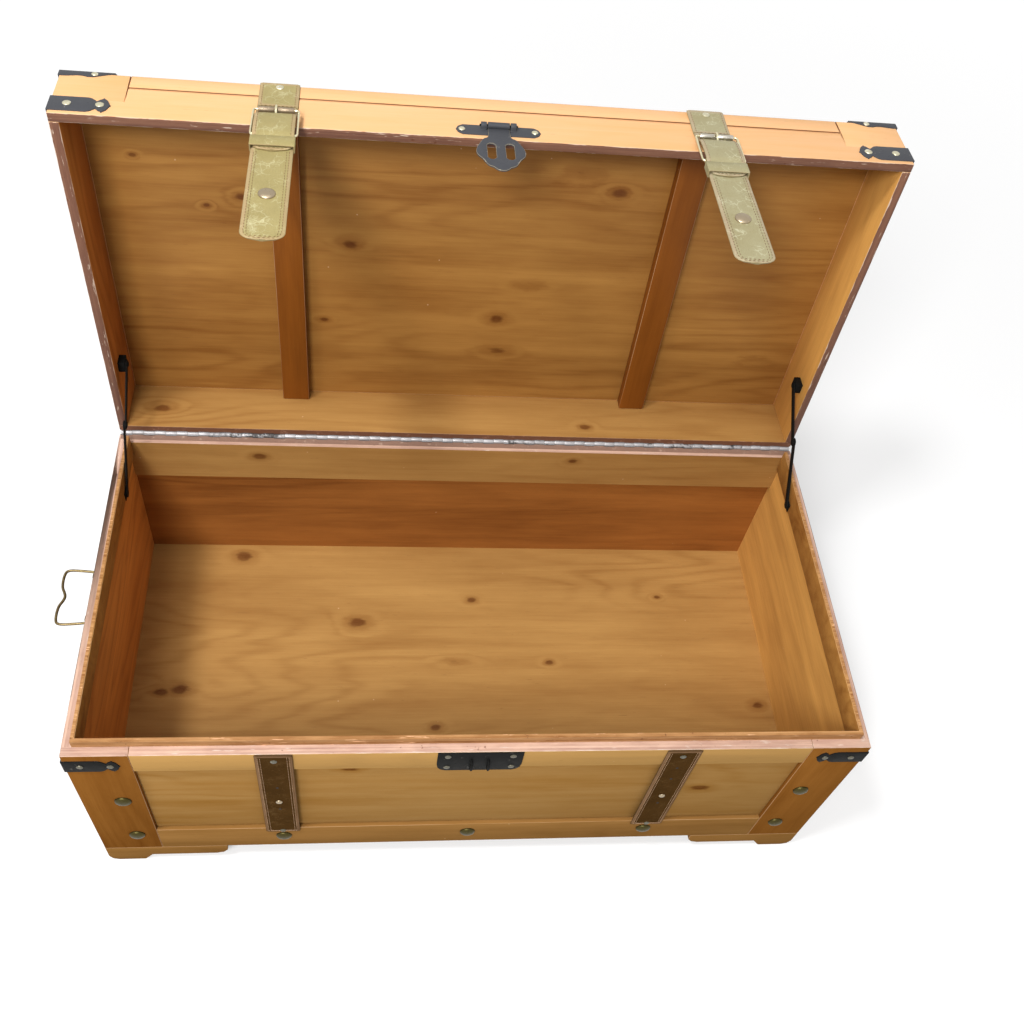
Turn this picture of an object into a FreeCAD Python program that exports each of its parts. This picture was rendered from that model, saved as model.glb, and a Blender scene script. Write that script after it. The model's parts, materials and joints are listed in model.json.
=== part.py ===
"""Pine mule chest: frame-and-panel carcass, piano-hinged lid, hasp, buckled straps, stays and bails.

Frame: origin on the floor under the middle of the footprint, X along the width to the right,
Y from front to back, Z up. The front faces -Y. Lengths are millimetres.
The lid's pieces are drawn shut and then swung back about the hinge line.
"""
import FreeCAD, Part
import os
import re
import Sketcher

V = FreeCAD.Vector
Rotation = FreeCAD.Rotation
doc = FreeCAD.newDocument("mule_chest")
sheet = doc.addObject("Spreadsheet::Sheet", "sizes")

SIZES = [
    # carcass
    ("overall_width", 900),
    ("overall_depth", 450),
    ("base_height", 310),
    ("lid_height", 78),
    ("open_angle", 93),
    ("frame_thick", 11),
    ("stile_width", 70),
    ("top_rail_height", 40),
    ("bottom_rail_height", 57),
    ("panel_thick", 6),
    ("tongue_depth", 6),
    ("tongue_thick", 3),
    ("tongue_clear", 0.15),
    ("foot_height", 40),
    ("foot_length", 149),
    ("foot_pad", 44),
    ("foot_bevel", 10),
    ("foot_arch", 15),
    ("foot_round", 12),
    ("floor_top", 75),
    ("floor_thick", 9),
    ("lip_thick", 4.5),
    ("lip_rise", 12),
    ("lip_drop", 25),
    ("lip_clear", 0.8),
    ("back_rail_height", 68),
    ("back_rail_thick", 5),
    # lid
    ("rim_gap", 0.5),
    ("lid_strip_height", 28),
    ("lid_rail_height", 23),
    ("groove_width", 2),
    ("groove_depth", 3),
    ("lid_top_thick", 4),
    ("batten_width", 34),
    ("batten_thick", 16),
    # piano hinge
    ("leaf_thick", 0.9),
    ("leaf_width", 11),
    ("leaf_inset", 2),
    ("leaf_gap", 0.2),
    ("barrel_radius", 3),
    ("barrel_clear", 0.35),
    ("hinge_pin_radius", 1.2),
    ("running_clear", 0.05),
    ("knuckle_clear", 0.3),
    # corner straps, nails and studs
    ("plate_thick", 1.2),
    ("corner_strap_height", 25),
    ("corner_strap_length", 60),
    ("corner_strap_neck", 8),
    ("corner_strap_disc", 6.5),
    ("base_strap_drop", 24),
    ("lid_strap_rise", 18),
    ("edge_strap_height", 8),
    ("edge_strap_length", 56),
    ("nail_radius", 3.4),
    ("nail_height", 1.3),
    ("stud_radius", 8.5),
    ("stud_height", 5),
    ("stud_inset", 46),
    ("stile_stud_high", 190),
    ("stile_stud_low", 86),
    ("rail_stud_height", 74),
    # hasp
    ("hasp_offset", -3),
    ("hasp_plate_reach", 44.5),
    ("hasp_plate_rise", 15),
    ("hasp_plate_half", 8.7),
    ("hasp_axis_rise", 18),
    ("hasp_barrel_radius", 3.5),
    ("hasp_barrel_length", 23),
    ("hasp_ear_width", 6),
    ("hasp_pin_radius", 1.2),
    ("flap_thick", 1.5),
    ("flap_clear", 0.5),
    ("flap_lobe", 25.5),
    ("flap_length", 77.5),
    ("slot_spacing", 19),
    ("slot_width", 9),
    ("slot_top", 30),
    ("slot_length", 28),
    ("staple_width", 96),
    ("staple_plate_height", 45),
    ("staple_radius", 1.5),
    ("staple_rise", 8),
    ("staple_span", 19),
    # straps and buckles
    ("strap_offset", 229),
    ("strap_width", 41),
    ("leather_thick", 2.2),
    ("strap_bend_rise", 32),
    ("strap_bend_gap", 0.6),
    ("tail_gap", 5),
    ("tail_drop", 194),
    ("strap_tip_drop", 56),
    ("snap_drop", 125.5),
    ("snap_radius", 8.5),
    ("snap_height", 3),
    ("post_radius", 4),
    ("post_height", 2),
    ("base_strap_bottom", 91),
    ("buckle_rise", 17),
    ("buckle_drop", 28.5),
    ("buckle_reach", 22.5),
    ("wire_radius", 1.4),
    ("sleeve_wall", 1.6),
    ("roller_radius", 3),
    ("roller_length", 36),
    ("roller_clear", 0.08),
    ("keeper_top", 35),
    ("keeper_bottom", 52),
    ("keeper_wall", 1.5),
    # folding stays
    ("stay_lid_run", 97),
    ("stay_lid_rise", 24),
    ("stay_base_run", 85),
    ("stay_base_drop", 18),
    ("stay_slack", 1.01),
    ("lower_arm_share", 0.536),
    ("arm_width", 8.6),
    ("arm_thick", 1.6),
    ("arm_gap", 0.3),
    ("arm_eye_radius", 5.6),
    ("stay_pin_radius", 2),
    ("stay_plate_half", 7),
    # bail handles
    ("handle_drop", 42),
    ("handle_out", 8),
    ("handle_reach", 37),
    ("handle_span", 60),
    ("handle_eye_width", 5),
    ("handle_eye_radius", 4),
    ("handle_rose_radius", 8),
    ("bail_radius", 1.6),
    ("bail_clear", 0.1),
    ("bail_half_width", 36),
    ("bail_dip", 6),
]
KNUCKLES = 9

for row, (alias, size) in enumerate(SIZES, 1):
    sheet.set("A%d" % row, str(size))
    sheet.setAlias("A%d" % row, alias)
doc.recompute()


def ex(text):
    """An expression with each size name pointed at the sheet."""
    return re.sub(r"[a-z]+(?:_[a-z]+)+", r"sizes.\g<0>", str(text))


def number(text):
    """The present value of an expression."""
    return float(sheet.evalExpression(ex(text)))


# Reference planes of the chest, as expressions.
HALF_X = "(overall_width / 2)"
HALF_Y = "(overall_depth / 2)"
RIM = "base_height"
TOP = "(base_height + lid_height)"
INNER_X = "(overall_width / 2 - frame_thick)"
INNER_Y = "(overall_depth / 2 - frame_thick)"
LID_WALL = "(frame_thick - lip_clear)"
LEAF = "(leaf_gap / 2 + leaf_thick)"
PANEL_LOW = "(foot_height + bottom_rail_height)"
PANEL_HIGH = "(base_height - top_rail_height)"
OPEN = "(open_angle * 1 deg)"

DIRECTIONS = {
    "x": Rotation(V(0, 1, 0), 90),
    "-x": Rotation(V(0, 1, 0), -90),
    "y": Rotation(V(1, 0, 0), -90),
    "-y": Rotation(V(1, 0, 0), 90),
    "z": Rotation(),
}
PLANES = {
    "XY": Rotation(),
    "XZ": Rotation(V(1, 0, 0), 90),
    "YZ": Rotation(V(1, 1, 1), 120),
}


def put(obj, x, y, z, rotation=Rotation()):
    """Place an object at a point given as expressions."""
    obj.Placement = FreeCAD.Placement(V(0, 0, 0), rotation)
    for axis, text in (("x", x), ("y", y), ("z", z)):
        obj.setExpression("Placement.Base." + axis, ex(text))
    return obj


def block(x, y, z):
    """A box between the two ends given for each axis."""
    obj = doc.addObject("Part::Box", "block")
    for name, (low, high) in (("Length", x), ("Width", y), ("Height", z)):
        obj.setExpression(name, ex("(%s) - (%s)" % (high, low)))
    return put(obj, x[0], y[0], z[0])


def rod(direction, radius, length, x, y, z, sides=None):
    """A cylinder, or a many-sided prism, that starts at a point and runs along a direction."""
    obj = doc.addObject("Part::Prism" if sides else "Part::Cylinder", "rod")
    if sides:
        obj.Polygon = sides
    obj.setExpression("Circumradius" if sides else "Radius", ex(radius))
    obj.setExpression("Height", ex(length))
    return put(obj, x, y, z, DIRECTIONS[direction])


def bore(radius, length, x, y, z, direction="x"):
    """A many-sided hole whose flats clear a round of this radius."""
    return rod(direction, "(%s) / cos(180 deg / 16)" % radius, length, x, y, z, sides=16)


def nail(direction, x, y, z, scale=1):
    """A low, forged, eight-sided nail head standing on a surface."""
    return rod(direction, "nail_radius * %s" % scale, "nail_height", x, y, z, sides=8)


def dome(radius, rise, x, y, z):
    """A domed head on a surface that faces -Y: a ruled loft through rings that shrink as they rise."""
    rings = []
    for width, share in ((1, 0), (0.8, 0.7), (0.35, 1)):
        ring = doc.addObject("Part::RegularPolygon", "ring")
        ring.Polygon = 12
        ring.setExpression("Circumradius", ex("(%s) * %s" % (radius, width)))
        rings.append(put(ring, x, "(%s) - (%s) * %s" % (y, rise, share), z, DIRECTIONS["-y"]))
    obj = doc.addObject("Part::Loft", "dome")
    obj.Sections = rings
    obj.Solid = True
    obj.Ruled = True
    return obj


def draw(sketch, points, closed=True):
    """Straight lines through points whose coordinates are expressions."""
    values = [V(number(a), number(b), 0) for a, b in points]
    ends = values[1:] + values[:1] if closed else values[1:]
    lines = [sketch.addGeometry(Part.LineSegment(a, b)) for a, b in zip(values, ends)]
    for before, after in zip(lines, lines[1:] + (lines[:1] if closed else [])):
        sketch.addConstraint(Sketcher.Constraint("Coincident", before, 2, after, 1))
    corners = [(line, 1) for line in lines]
    if not closed:
        corners.append((lines[-1], 2))
    for (line, end), value, point in zip(corners, values, points):
        for kind, size, text in (("DistanceX", value.x, point[0]), ("DistanceY", value.y, point[1])):
            index = sketch.addConstraint(Sketcher.Constraint(kind, -1, 1, line, end, size))
            sketch.setExpression("Constraints[%d]" % index, ex(text))


def plate(plane, offset, thick, points):
    """A padded outline on an origin plane of its own body.

    Outlines on XZ grow towards -Y, on YZ towards +X and on XY towards +Z.
    """
    body = doc.addObject("PartDesign::Body", "plate")
    sketch = body.newObject("Sketcher::SketchObject", "outline")
    origin = [item for item in body.Origin.OriginFeatures if item.Role == plane + "_Plane"][0]
    sketch.AttachmentSupport = [(origin, "")]
    sketch.MapMode = "FlatFace"
    sketch.setExpression("AttachmentOffset.Base.z", ex(offset))
    draw(sketch, points)
    pad = body.newObject("PartDesign::Pad", "pad")
    pad.Profile = sketch
    pad.setExpression("Length", ex(thick))
    return body


def wire(plane, direction, radius, points, origin=(0, 0, 0), closed=False):
    """Round wire swept along straight runs in one plane, mitred at the bends.

    The first run goes along the plane's own x or y direction.
    """
    turn = PLANES[plane]
    sketch = doc.addObject("Sketcher::SketchObject", "path")
    put(sketch, *origin, rotation=turn)
    draw(sketch, points, closed)
    first = points[0]
    spot = {"XY": (first[0], first[1], "0"), "XZ": (first[0], "0", first[1]),
            "YZ": ("0", first[0], first[1])}[plane]
    ring = doc.addObject("Part::RegularPolygon", "section")
    ring.Polygon = 12
    ring.setExpression("Circumradius", ex(radius))
    start = ["(%s) + (%s)" % pair for pair in zip(origin, spot)]
    put(ring, *start, rotation=turn * DIRECTIONS[direction])
    doc.recompute()
    obj = doc.addObject("Part::Sweep", "wire")
    obj.Sections = [ring]
    obj.Spine = (sketch, ["Edge%d" % (i + 1) for i in range(len(sketch.Shape.Edges))])
    obj.Solid = True
    obj.Transition = "Right corner"
    return obj


def fuse(*parts):
    obj = doc.addObject("Part::MultiFuse", "fused")
    obj.Shapes = list(parts)
    return obj


def cut(base, *tools):
    obj = doc.addObject("Part::Cut", "cut")
    obj.Base = base
    obj.Tool = tools[0] if len(tools) == 1 else fuse(*tools)
    return obj


def group(parts, x=0, y=0, z=0, rotation=Rotation()):
    """Separate solids kept together, placed as one."""
    obj = doc.addObject("Part::Compound", "group")
    obj.Links = list(parts)
    return put(obj, x, y, z, rotation)


def turned(parts, y, z, angle, outward=True):
    """Parts turned about a line along X: towards the front and up, or the other way."""
    sign = "" if outward else "-"
    obj = group(parts)
    obj.Placement = FreeCAD.Placement(V(0, 0, 0), Rotation(V(-1 if outward else 1, 0, 0), 1))
    obj.setExpression("Placement.Rotation.Angle", ex(angle))
    text = {"y": y, "z": z, "a": angle, "s": sign + "1"}
    obj.setExpression("Placement.Base.y", ex(
        "(%(y)s) - (%(y)s) * cos(%(a)s) - (%(s)s) * (%(z)s) * sin(%(a)s)" % text))
    obj.setExpression("Placement.Base.z", ex(
        "(%(z)s) - (%(z)s) * cos(%(a)s) + (%(s)s) * (%(y)s) * sin(%(a)s)" % text))
    return obj


def mirrored(part, x=0, y=0):
    """A copy reflected left to right (x=1) or front to back (y=1)."""
    obj = doc.addObject("Part::Mirroring", "mirrored")
    obj.Source = part
    obj.Normal = V(x, y, 0)
    return obj


def four_corners(part):
    """The front left piece and its copies at the other corners."""
    right = mirrored(part, x=1)
    return [part, right, mirrored(part, y=1), mirrored(right, y=1)]


def flip(points, middle):
    """Outline points reflected about a vertical line, in closing order."""
    return points + [("2 * (%s) - (%s)" % (middle, a), b) for a, b in reversed(points)]


nodes = []


def node(label, *parts):
    """A finished piece of the carcass or of a moving body."""
    obj = parts[0] if len(parts) == 1 else group(parts)
    obj.Label = label
    nodes.append(obj)
    return obj


def lid_node(label, *parts):
    """A finished piece drawn on the shut lid and swung open with it."""
    return node(label, turned(parts, HALF_Y, RIM, OPEN))


# Carcass walls, each drawn with its outer face on y = 0 and its middle at x = 0.

def barrel_groove(y):
    """Room in the wood for the hinge barrel."""
    radius = "barrel_radius + barrel_clear"
    return rod("x", radius, "overall_width + 2 * frame_thick", "-overall_width / 2 - frame_thick", y, RIM)


def wall(length, stile, top):
    """Stiles, rails and a tongued panel, flush inside."""
    half = "(%s) / 2" % length
    inner = "(%s - (%s))" % (half, stile)
    tongue_back = "(frame_thick - (panel_thick - tongue_thick) / 2)"
    tongue_front = "(%s - tongue_thick)" % tongue_back
    slot_reach = "(%s + tongue_depth + tongue_clear)" % inner
    slot = ((("-" + slot_reach), slot_reach),
            (tongue_front + " - tongue_clear", tongue_back + " + tongue_clear"),
            (PANEL_LOW + " - tongue_depth - tongue_clear", PANEL_HIGH + " + tongue_depth + tongue_clear"))
    through = ("0", "frame_thick")
    frame = [
        block(("-%s" % half, "-" + inner), through, ("foot_height", top)),
        block((inner, half), through, ("foot_height", top)),
        block(("-" + inner, inner), through, (PANEL_HIGH, top)),
        block(("-" + inner, inner), through, ("foot_height", PANEL_LOW)),
    ]
    tongue_reach = "(%s + tongue_depth)" % inner
    panel = fuse(
        block(("-" + inner, inner), ("frame_thick - panel_thick", "frame_thick"), (PANEL_LOW, PANEL_HIGH)),
        block(("-" + tongue_reach, tongue_reach), (tongue_front, tongue_back),
              (PANEL_LOW + " - tongue_depth", PANEL_HIGH + " + tongue_depth")))
    return [cut(piece, block(*slot)) for piece in frame], panel


front_frame, front_panel = wall("overall_width", "stile_width", RIM)
FRONT = ("0", "-" + HALF_Y, "0")
node("front_stiles", group(front_frame[:2], *FRONT))
node("front_top_rail", group([front_frame[2]], *FRONT))
node("front_bottom_rail", group([front_frame[3]], *FRONT))
node("front_panel", group([front_panel], *FRONT))

back_frame, back_panel = wall("overall_width", "stile_width", RIM + " - " + LEAF)
BACK = ("0", HALF_Y, "0", Rotation(V(0, 0, 1), 180))
back_frame = [cut(piece, barrel_groove("0")) for piece in back_frame[:3]] + back_frame[3:]
node("back_frame", group(back_frame, *BACK))
node("back_panel", group([back_panel], *BACK))

for label, x, turn in (("left", "-" + HALF_X, -90), ("right", HALF_X, 90)):
    side_frame, side_panel = wall("(overall_depth - 2 * frame_thick)", "(stile_width - frame_thick)", RIM)
    place = (x, "0", "0", Rotation(V(0, 0, 1), turn))
    node(label + "_side_frame", group(side_frame, *place))
    node(label + "_side_panel", group([side_panel], *place))

node("floor_board", block(("-" + INNER_X, INNER_X), ("-" + INNER_Y, INNER_Y),
                          ("floor_top - floor_thick", "floor_top")))

LIP_Z = ("base_height - lip_drop", "base_height + lip_rise")
LIP_Y = ("-%s + lip_thick" % INNER_Y, INNER_Y + " - back_rail_thick")
LIP_FACE = "(-%s + lip_thick)" % INNER_X
node("dust_lip",
     block(("-" + INNER_X, INNER_X), ("-" + INNER_Y, LIP_Y[0]), LIP_Z),
     block(("-" + INNER_X, LIP_FACE), LIP_Y, LIP_Z),
     block(("-" + LIP_FACE, INNER_X), LIP_Y, LIP_Z))
node("back_inner_rail",
     block(("-" + INNER_X, INNER_X), (LIP_Y[1], INNER_Y),
           ("base_height - back_rail_height", RIM + " - " + LEAF)))

# Bracket feet: one leg under the front, one under the side.

FOOT = [
    ("0", "foot_height"),
    ("0", "foot_round"),
    ("foot_round * 0.3", "foot_round * 0.3"),
    ("foot_round", "0"),
    ("foot_pad", "0"),
    ("foot_pad + foot_bevel", "foot_arch"),
    ("foot_length - foot_arch", "foot_arch"),
    ("foot_length - foot_arch * 0.4", "foot_arch * 1.2"),
    ("foot_length - foot_arch * 0.05", "foot_arch * 1.7"),
    ("foot_length", "foot_height"),
]
foot = fuse(
    plate("XZ", HALF_Y + " - frame_thick", "frame_thick", [("-%s + %s" % (HALF_X, u), z) for u, z in FOOT]),
    plate("YZ", "-" + HALF_X, "frame_thick", [("-%s + %s" % (HALF_Y, u), z) for u, z in FOOT]))
node("corner_feet", *four_corners(foot))

# Corner straps: a pointed leg with a nailed disc on each side of the corner.

DISC_AT = "(corner_strap_length - corner_strap_disc * 1.8)"
LEG = [
    ("corner_strap_length * 0.47", "corner_strap_height / 2"),
    ("corner_strap_length * 0.67", "corner_strap_neck / 2"),
    (DISC_AT, "corner_strap_neck / 2"),
    ("corner_strap_length - 4", "corner_strap_neck / 3"),
    ("corner_strap_length", "0"),
    ("corner_strap_length - 4", "-corner_strap_neck / 3"),
    (DISC_AT, "-corner_strap_neck / 2"),
    ("corner_strap_length * 0.67", "-corner_strap_neck / 2"),
    ("corner_strap_length * 0.47", "-corner_strap_height / 2"),
]


def corner_strap(middle):
    """An L of sheet metal round the front left corner."""
    def leg(edge, start):
        ends = [(start, "-corner_strap_height / 2"), (start, "corner_strap_height / 2")]
        return [("-%s + %s" % (edge, u), "%s + %s" % (middle, w)) for u, w in ends + LEG]
    return fuse(
        plate("XZ", HALF_Y, "plate_thick", leg(HALF_X, "-plate_thick")),
        plate("YZ", "-%s - plate_thick" % HALF_X, "plate_thick", leg(HALF_Y, "0")),
        rod("-y", "corner_strap_disc", "plate_thick", "-%s + %s" % (HALF_X, DISC_AT), "-" + HALF_Y, middle,
            sides=12),
        rod("-x", "corner_strap_disc", "plate_thick", "-" + HALF_X, "-%s + %s" % (HALF_Y, DISC_AT), middle,
            sides=12))


def corner_nails(middle):
    """Two nails through each leg of a corner strap."""
    heads = []
    for along in ("corner_strap_length * 0.28", DISC_AT):
        heads.append(nail("-y", "-%s + %s" % (HALF_X, along), "-%s - plate_thick" % HALF_Y, middle))
        heads.append(nail("-x", "-%s - plate_thick" % HALF_X, "-%s + %s" % (HALF_Y, along), middle))
    return four_corners(group(heads))


def edge_strap():
    """A narrow strap folded over the lid's top edge at the front left corner."""
    drop = "edge_strap_height"
    reach = "edge_strap_length"
    top = TOP + " + plate_thick"

    def leg(edge, start):
        low = "%s - %s" % (TOP, drop)
        tip = "%s - %s * 0.25" % (TOP, drop)
        points = [(start, top), (start, low), (reach + " * 0.5", low), (reach, tip), (reach, top)]
        return [("-%s + %s" % (edge, u), z) for u, z in points]
    over = [("0", "0"), (reach, "0"), (reach, drop + " * 0.25"), (reach + " * 0.5", drop), (drop, drop),
            (drop, reach + " * 0.5"), (drop + " * 0.25", reach), ("0", reach)]
    corner = [("-%s + %s" % (HALF_X, u), "-%s + %s" % (HALF_Y, v)) for u, v in over]
    return fuse(
        plate("XZ", HALF_Y, "plate_thick", leg(HALF_X, "-plate_thick")),
        plate("YZ", "-%s - plate_thick" % HALF_X, "plate_thick", leg(HALF_Y, "0")),
        plate("XY", TOP, "plate_thick", corner))


def edge_nails():
    along = "edge_strap_length * 0.62"
    drop = "%s - edge_strap_height * 0.45" % TOP
    return four_corners(group([
        nail("-y", "-%s + %s" % (HALF_X, along), "-%s - plate_thick" % HALF_Y, drop, 0.8),
        nail("-x", "-%s - plate_thick" % HALF_X, "-%s + %s" % (HALF_Y, along), drop, 0.8)]))


BASE_STRAP_Z = "(base_height - base_strap_drop)"
LID_STRAP_Z = "(base_height + lid_strap_rise)"
node("base_corner_straps", *four_corners(corner_strap(BASE_STRAP_Z)))

# Domed studs on the front stiles and bottom rail.

studs = []
for x in ("-(%s - stud_inset)" % HALF_X, "%s - stud_inset" % HALF_X):
    for z in ("stile_stud_high", "stile_stud_low"):
        studs.append(dome("stud_radius", "stud_height", x, "-" + HALF_Y, z))
for x in ("-strap_offset", "0", "strap_offset"):
    studs.append(dome("stud_radius", "stud_height", x, "-" + HALF_Y, "rail_stud_height"))
node("dome_studs", *studs)

# Staple plate: sheet plate with two wire staples that the flap's slots drop over.

SLOT_MIDDLE = "(base_height + hasp_axis_rise - slot_top - slot_length / 2)"
SLOT_X = ["hasp_offset - slot_spacing / 2", "hasp_offset + slot_spacing / 2"]
staple_outline = flip([
    ("hasp_offset + staple_width / 2", RIM),
    ("hasp_offset + staple_width / 2", "base_height - staple_plate_height * 0.7"),
    ("hasp_offset + staple_width * 0.46", "base_height - staple_plate_height * 0.9"),
    ("hasp_offset + staple_width * 0.38", "base_height - staple_plate_height"),
], "hasp_offset")
loops = []
for x in SLOT_X:
    low = "%s - (staple_span / 2 - staple_radius)" % SLOT_MIDDLE
    high = "%s + (staple_span / 2 - staple_radius)" % SLOT_MIDDLE
    inside = "-%s - plate_thick / 2" % HALF_Y
    crown = "-%s - plate_thick - staple_rise + staple_radius" % HALF_Y
    bend = [(inside, low), (crown, low), (crown, high), (inside, high)]
    loops.append(wire("YZ", "x", "staple_radius", bend, origin=(x, "0", "0")))
node("staple_plate", fuse(plate("XZ", HALF_Y, "plate_thick", staple_outline), *loops))

# Base straps, their snap posts and the carcass nails.

for label, x in (("left", "-strap_offset"), ("right", "strap_offset")):
    node(label + "_base_strap",
         block((x + " - strap_width / 2", x + " + strap_width / 2"),
               ("-%s - leather_thick" % HALF_Y, "-" + HALF_Y), ("base_strap_bottom", RIM)))
SNAP_Z = "base_height - snap_drop"
node("snap_posts", *[rod("-y", "post_radius", "post_height", x, "-%s - leather_thick" % HALF_Y, SNAP_Z,
                         sides=16)
                     for x in ("-strap_offset", "strap_offset")])
base_nails = corner_nails(BASE_STRAP_Z)
for x in ("hasp_offset - staple_width * 0.38", "hasp_offset + staple_width * 0.38"):
    for drop in ("staple_plate_height * 0.2", "staple_plate_height * 0.8"):
        base_nails.append(nail("-y", x, "-%s - plate_thick" % HALF_Y, "base_height - " + drop))
for x in ("-strap_offset", "strap_offset"):
    for z in ("base_strap_bottom + 4", "base_height - 14"):
        base_nails.append(nail("-y", x, "-%s - leather_thick" % HALF_Y, z))
node("base_nails", *base_nails)

# Piano hinge: leaves let in between the back rims, knuckles taking turns on one pin.

LEAF_REACH = "(overall_width / 2 - leaf_inset)"
SEGMENT = "(2 * %s / %d)" % (LEAF_REACH, KNUCKLES)
HINGE_BORE = "hinge_pin_radius + running_clear"


def hinge_leaf(low, high, first):
    """A leaf with every second knuckle, starting from the given one."""
    span = ("-" + LEAF_REACH, LEAF_REACH)
    leaf = cut(block(span, (HALF_Y + " - leaf_width", HALF_Y), (low, high)), barrel_groove(HALF_Y))
    pieces = [leaf]
    for index in range(first, KNUCKLES, 2):
        start = "-%s + %d * %s + knuckle_clear / 2" % (LEAF_REACH, index, SEGMENT)
        length = SEGMENT + " - knuckle_clear"
        pieces.append(rod("x", "barrel_radius", length, start, HALF_Y, RIM, sides=16))
        pieces.append(block((start, "%s + %s" % (start, length)),
                            (HALF_Y + " - barrel_radius * 1.6", HALF_Y), (low, high)))
    return cut(fuse(*pieces), bore(HINGE_BORE, "overall_width", "-" + HALF_X, HALF_Y, RIM))


node("base_hinge_leaf", hinge_leaf(RIM + " - " + LEAF, RIM + " - leaf_gap / 2", 0))
hinge_pin = rod("x", "hinge_pin_radius", "2 * " + LEAF_REACH, "-" + LEAF_REACH, HALF_Y, RIM, sides=16)
node("hinge_pin", hinge_pin)

# Lid, drawn shut.

FRONT_Y = ("-" + HALF_Y, "-%s + %s" % (HALF_Y, LID_WALL))
STRIP_TOP = "(base_height + lid_strip_height)"
SHUT_RIM = "(base_height + rim_gap)"
BOARD_TOP = "(%s - lid_rail_height - groove_width)" % TOP
PANEL_X = "(overall_width / 2 - stile_width)"
INSIDE_X = "(overall_width / 2 - %s)" % LID_WALL
INSIDE_Y = (FRONT_Y[1], INNER_Y)
lid_node("lid_lower_rail", block(("-" + HALF_X, HALF_X), FRONT_Y, (SHUT_RIM, STRIP_TOP)))
lid_node("lid_front_stiles",
         block(("-" + HALF_X, "-" + PANEL_X), FRONT_Y, (STRIP_TOP, TOP)),
         block((PANEL_X, HALF_X), FRONT_Y, (STRIP_TOP, TOP)))
lid_node("lid_front_board", fuse(
    block(("-" + PANEL_X, PANEL_X), FRONT_Y, (STRIP_TOP, BOARD_TOP)),
    block(("-" + PANEL_X, PANEL_X), ("-%s + groove_depth" % HALF_Y, FRONT_Y[1]),
          (BOARD_TOP, TOP + " - lid_rail_height"))))
lid_node("lid_upper_rail", block(("-" + PANEL_X, PANEL_X), FRONT_Y, (TOP + " - lid_rail_height", TOP)))
back_board = block(("-" + HALF_X, HALF_X), (INNER_Y, HALF_Y), ("%s + %s" % (RIM, LEAF), TOP))
lid_node("lid_back_board", cut(back_board, barrel_groove(HALF_Y)))
lid_node("lid_left_end", block(("-" + HALF_X, "-" + INSIDE_X), INSIDE_Y, (SHUT_RIM, TOP)))
lid_node("lid_right_end", block((INSIDE_X, HALF_X), INSIDE_Y, (SHUT_RIM, TOP)))
lid_node("lid_top", block(("-" + INSIDE_X, INSIDE_X), INSIDE_Y, (TOP + " - lid_top_thick", TOP)))
lid_node("lid_battens", *[
    block((x + " - batten_width / 2", x + " + batten_width / 2"), INSIDE_Y,
          (TOP + " - lid_top_thick - batten_thick", TOP + " - lid_top_thick"))
    for x in ("-strap_offset", "strap_offset")])
lid_node("lid_hinge_leaf", hinge_leaf(RIM + " + leaf_gap / 2", "%s + %s" % (RIM, LEAF), 1))
lid_node("lid_corner_straps", *(four_corners(corner_strap(LID_STRAP_Z)) + four_corners(edge_strap())))
lid_nails = corner_nails(LID_STRAP_Z) + edge_nails()
for side in (-1, 1):
    x = "hasp_offset + %d * hasp_plate_reach * 0.86" % side
    lid_nails.append(nail("-y", x, "-%s - plate_thick" % HALF_Y, "base_height + hasp_plate_rise", 0.8))
    x = "%d * strap_offset" % side
    lid_nails.append(nail("-y", x, "-%s - leather_thick" % HALF_Y, TOP + " - 8"))
lid_node("lid_nails", *lid_nails)

# Hasp: round-ended plate with two ears, pin and slotted flap.

HASP_Z = "(base_height + hasp_axis_rise)"
HASP_OUT = "(plate_thick + hasp_barrel_radius + 0.2)"
HASP_Y = "(-%s - %s)" % (HALF_Y, HASP_OUT)
PLATE_Z = "(base_height + hasp_plate_rise)"
bar_outline = flip([
    ("hasp_offset + hasp_plate_reach * 0.84", PLATE_Z + " + hasp_plate_half"),
    ("hasp_offset + hasp_plate_reach * 0.95", PLATE_Z + " + hasp_plate_half * 0.6"),
    ("hasp_offset + hasp_plate_reach", PLATE_Z),
    ("hasp_offset + hasp_plate_reach * 0.95", PLATE_Z + " - hasp_plate_half * 0.6"),
    ("hasp_offset + hasp_plate_reach * 0.84", PLATE_Z + " - hasp_plate_half"),
], "hasp_offset")
ears = []
for side in (-1, 1):
    near = "hasp_offset + %d * (hasp_barrel_length / 2 + 1) + %d * hasp_ear_width" % (side, min(side, 0))
    ears.append(rod("x", "hasp_barrel_radius", "hasp_ear_width", near, HASP_Y, HASP_Z, sides=16))
    ears.append(block((near, near + " + hasp_ear_width"), (HASP_Y, "-%s - plate_thick / 2" % HALF_Y),
                      (HASP_Z + " - hasp_barrel_radius", HASP_Z + " + hasp_barrel_radius")))
PIN_REACH = "(hasp_barrel_length / 2 + 1 + hasp_ear_width + 1.5)"
PIN_START = "hasp_offset - " + PIN_REACH
hasp_pin = rod("x", "hasp_pin_radius", "2 * " + PIN_REACH, PIN_START, HASP_Y, HASP_Z, sides=16)
lid_node("hasp_plate", cut(fuse(plate("XZ", HALF_Y, "plate_thick", bar_outline), *ears), hasp_pin))
lid_node("hasp_pin", hasp_pin)

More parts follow.
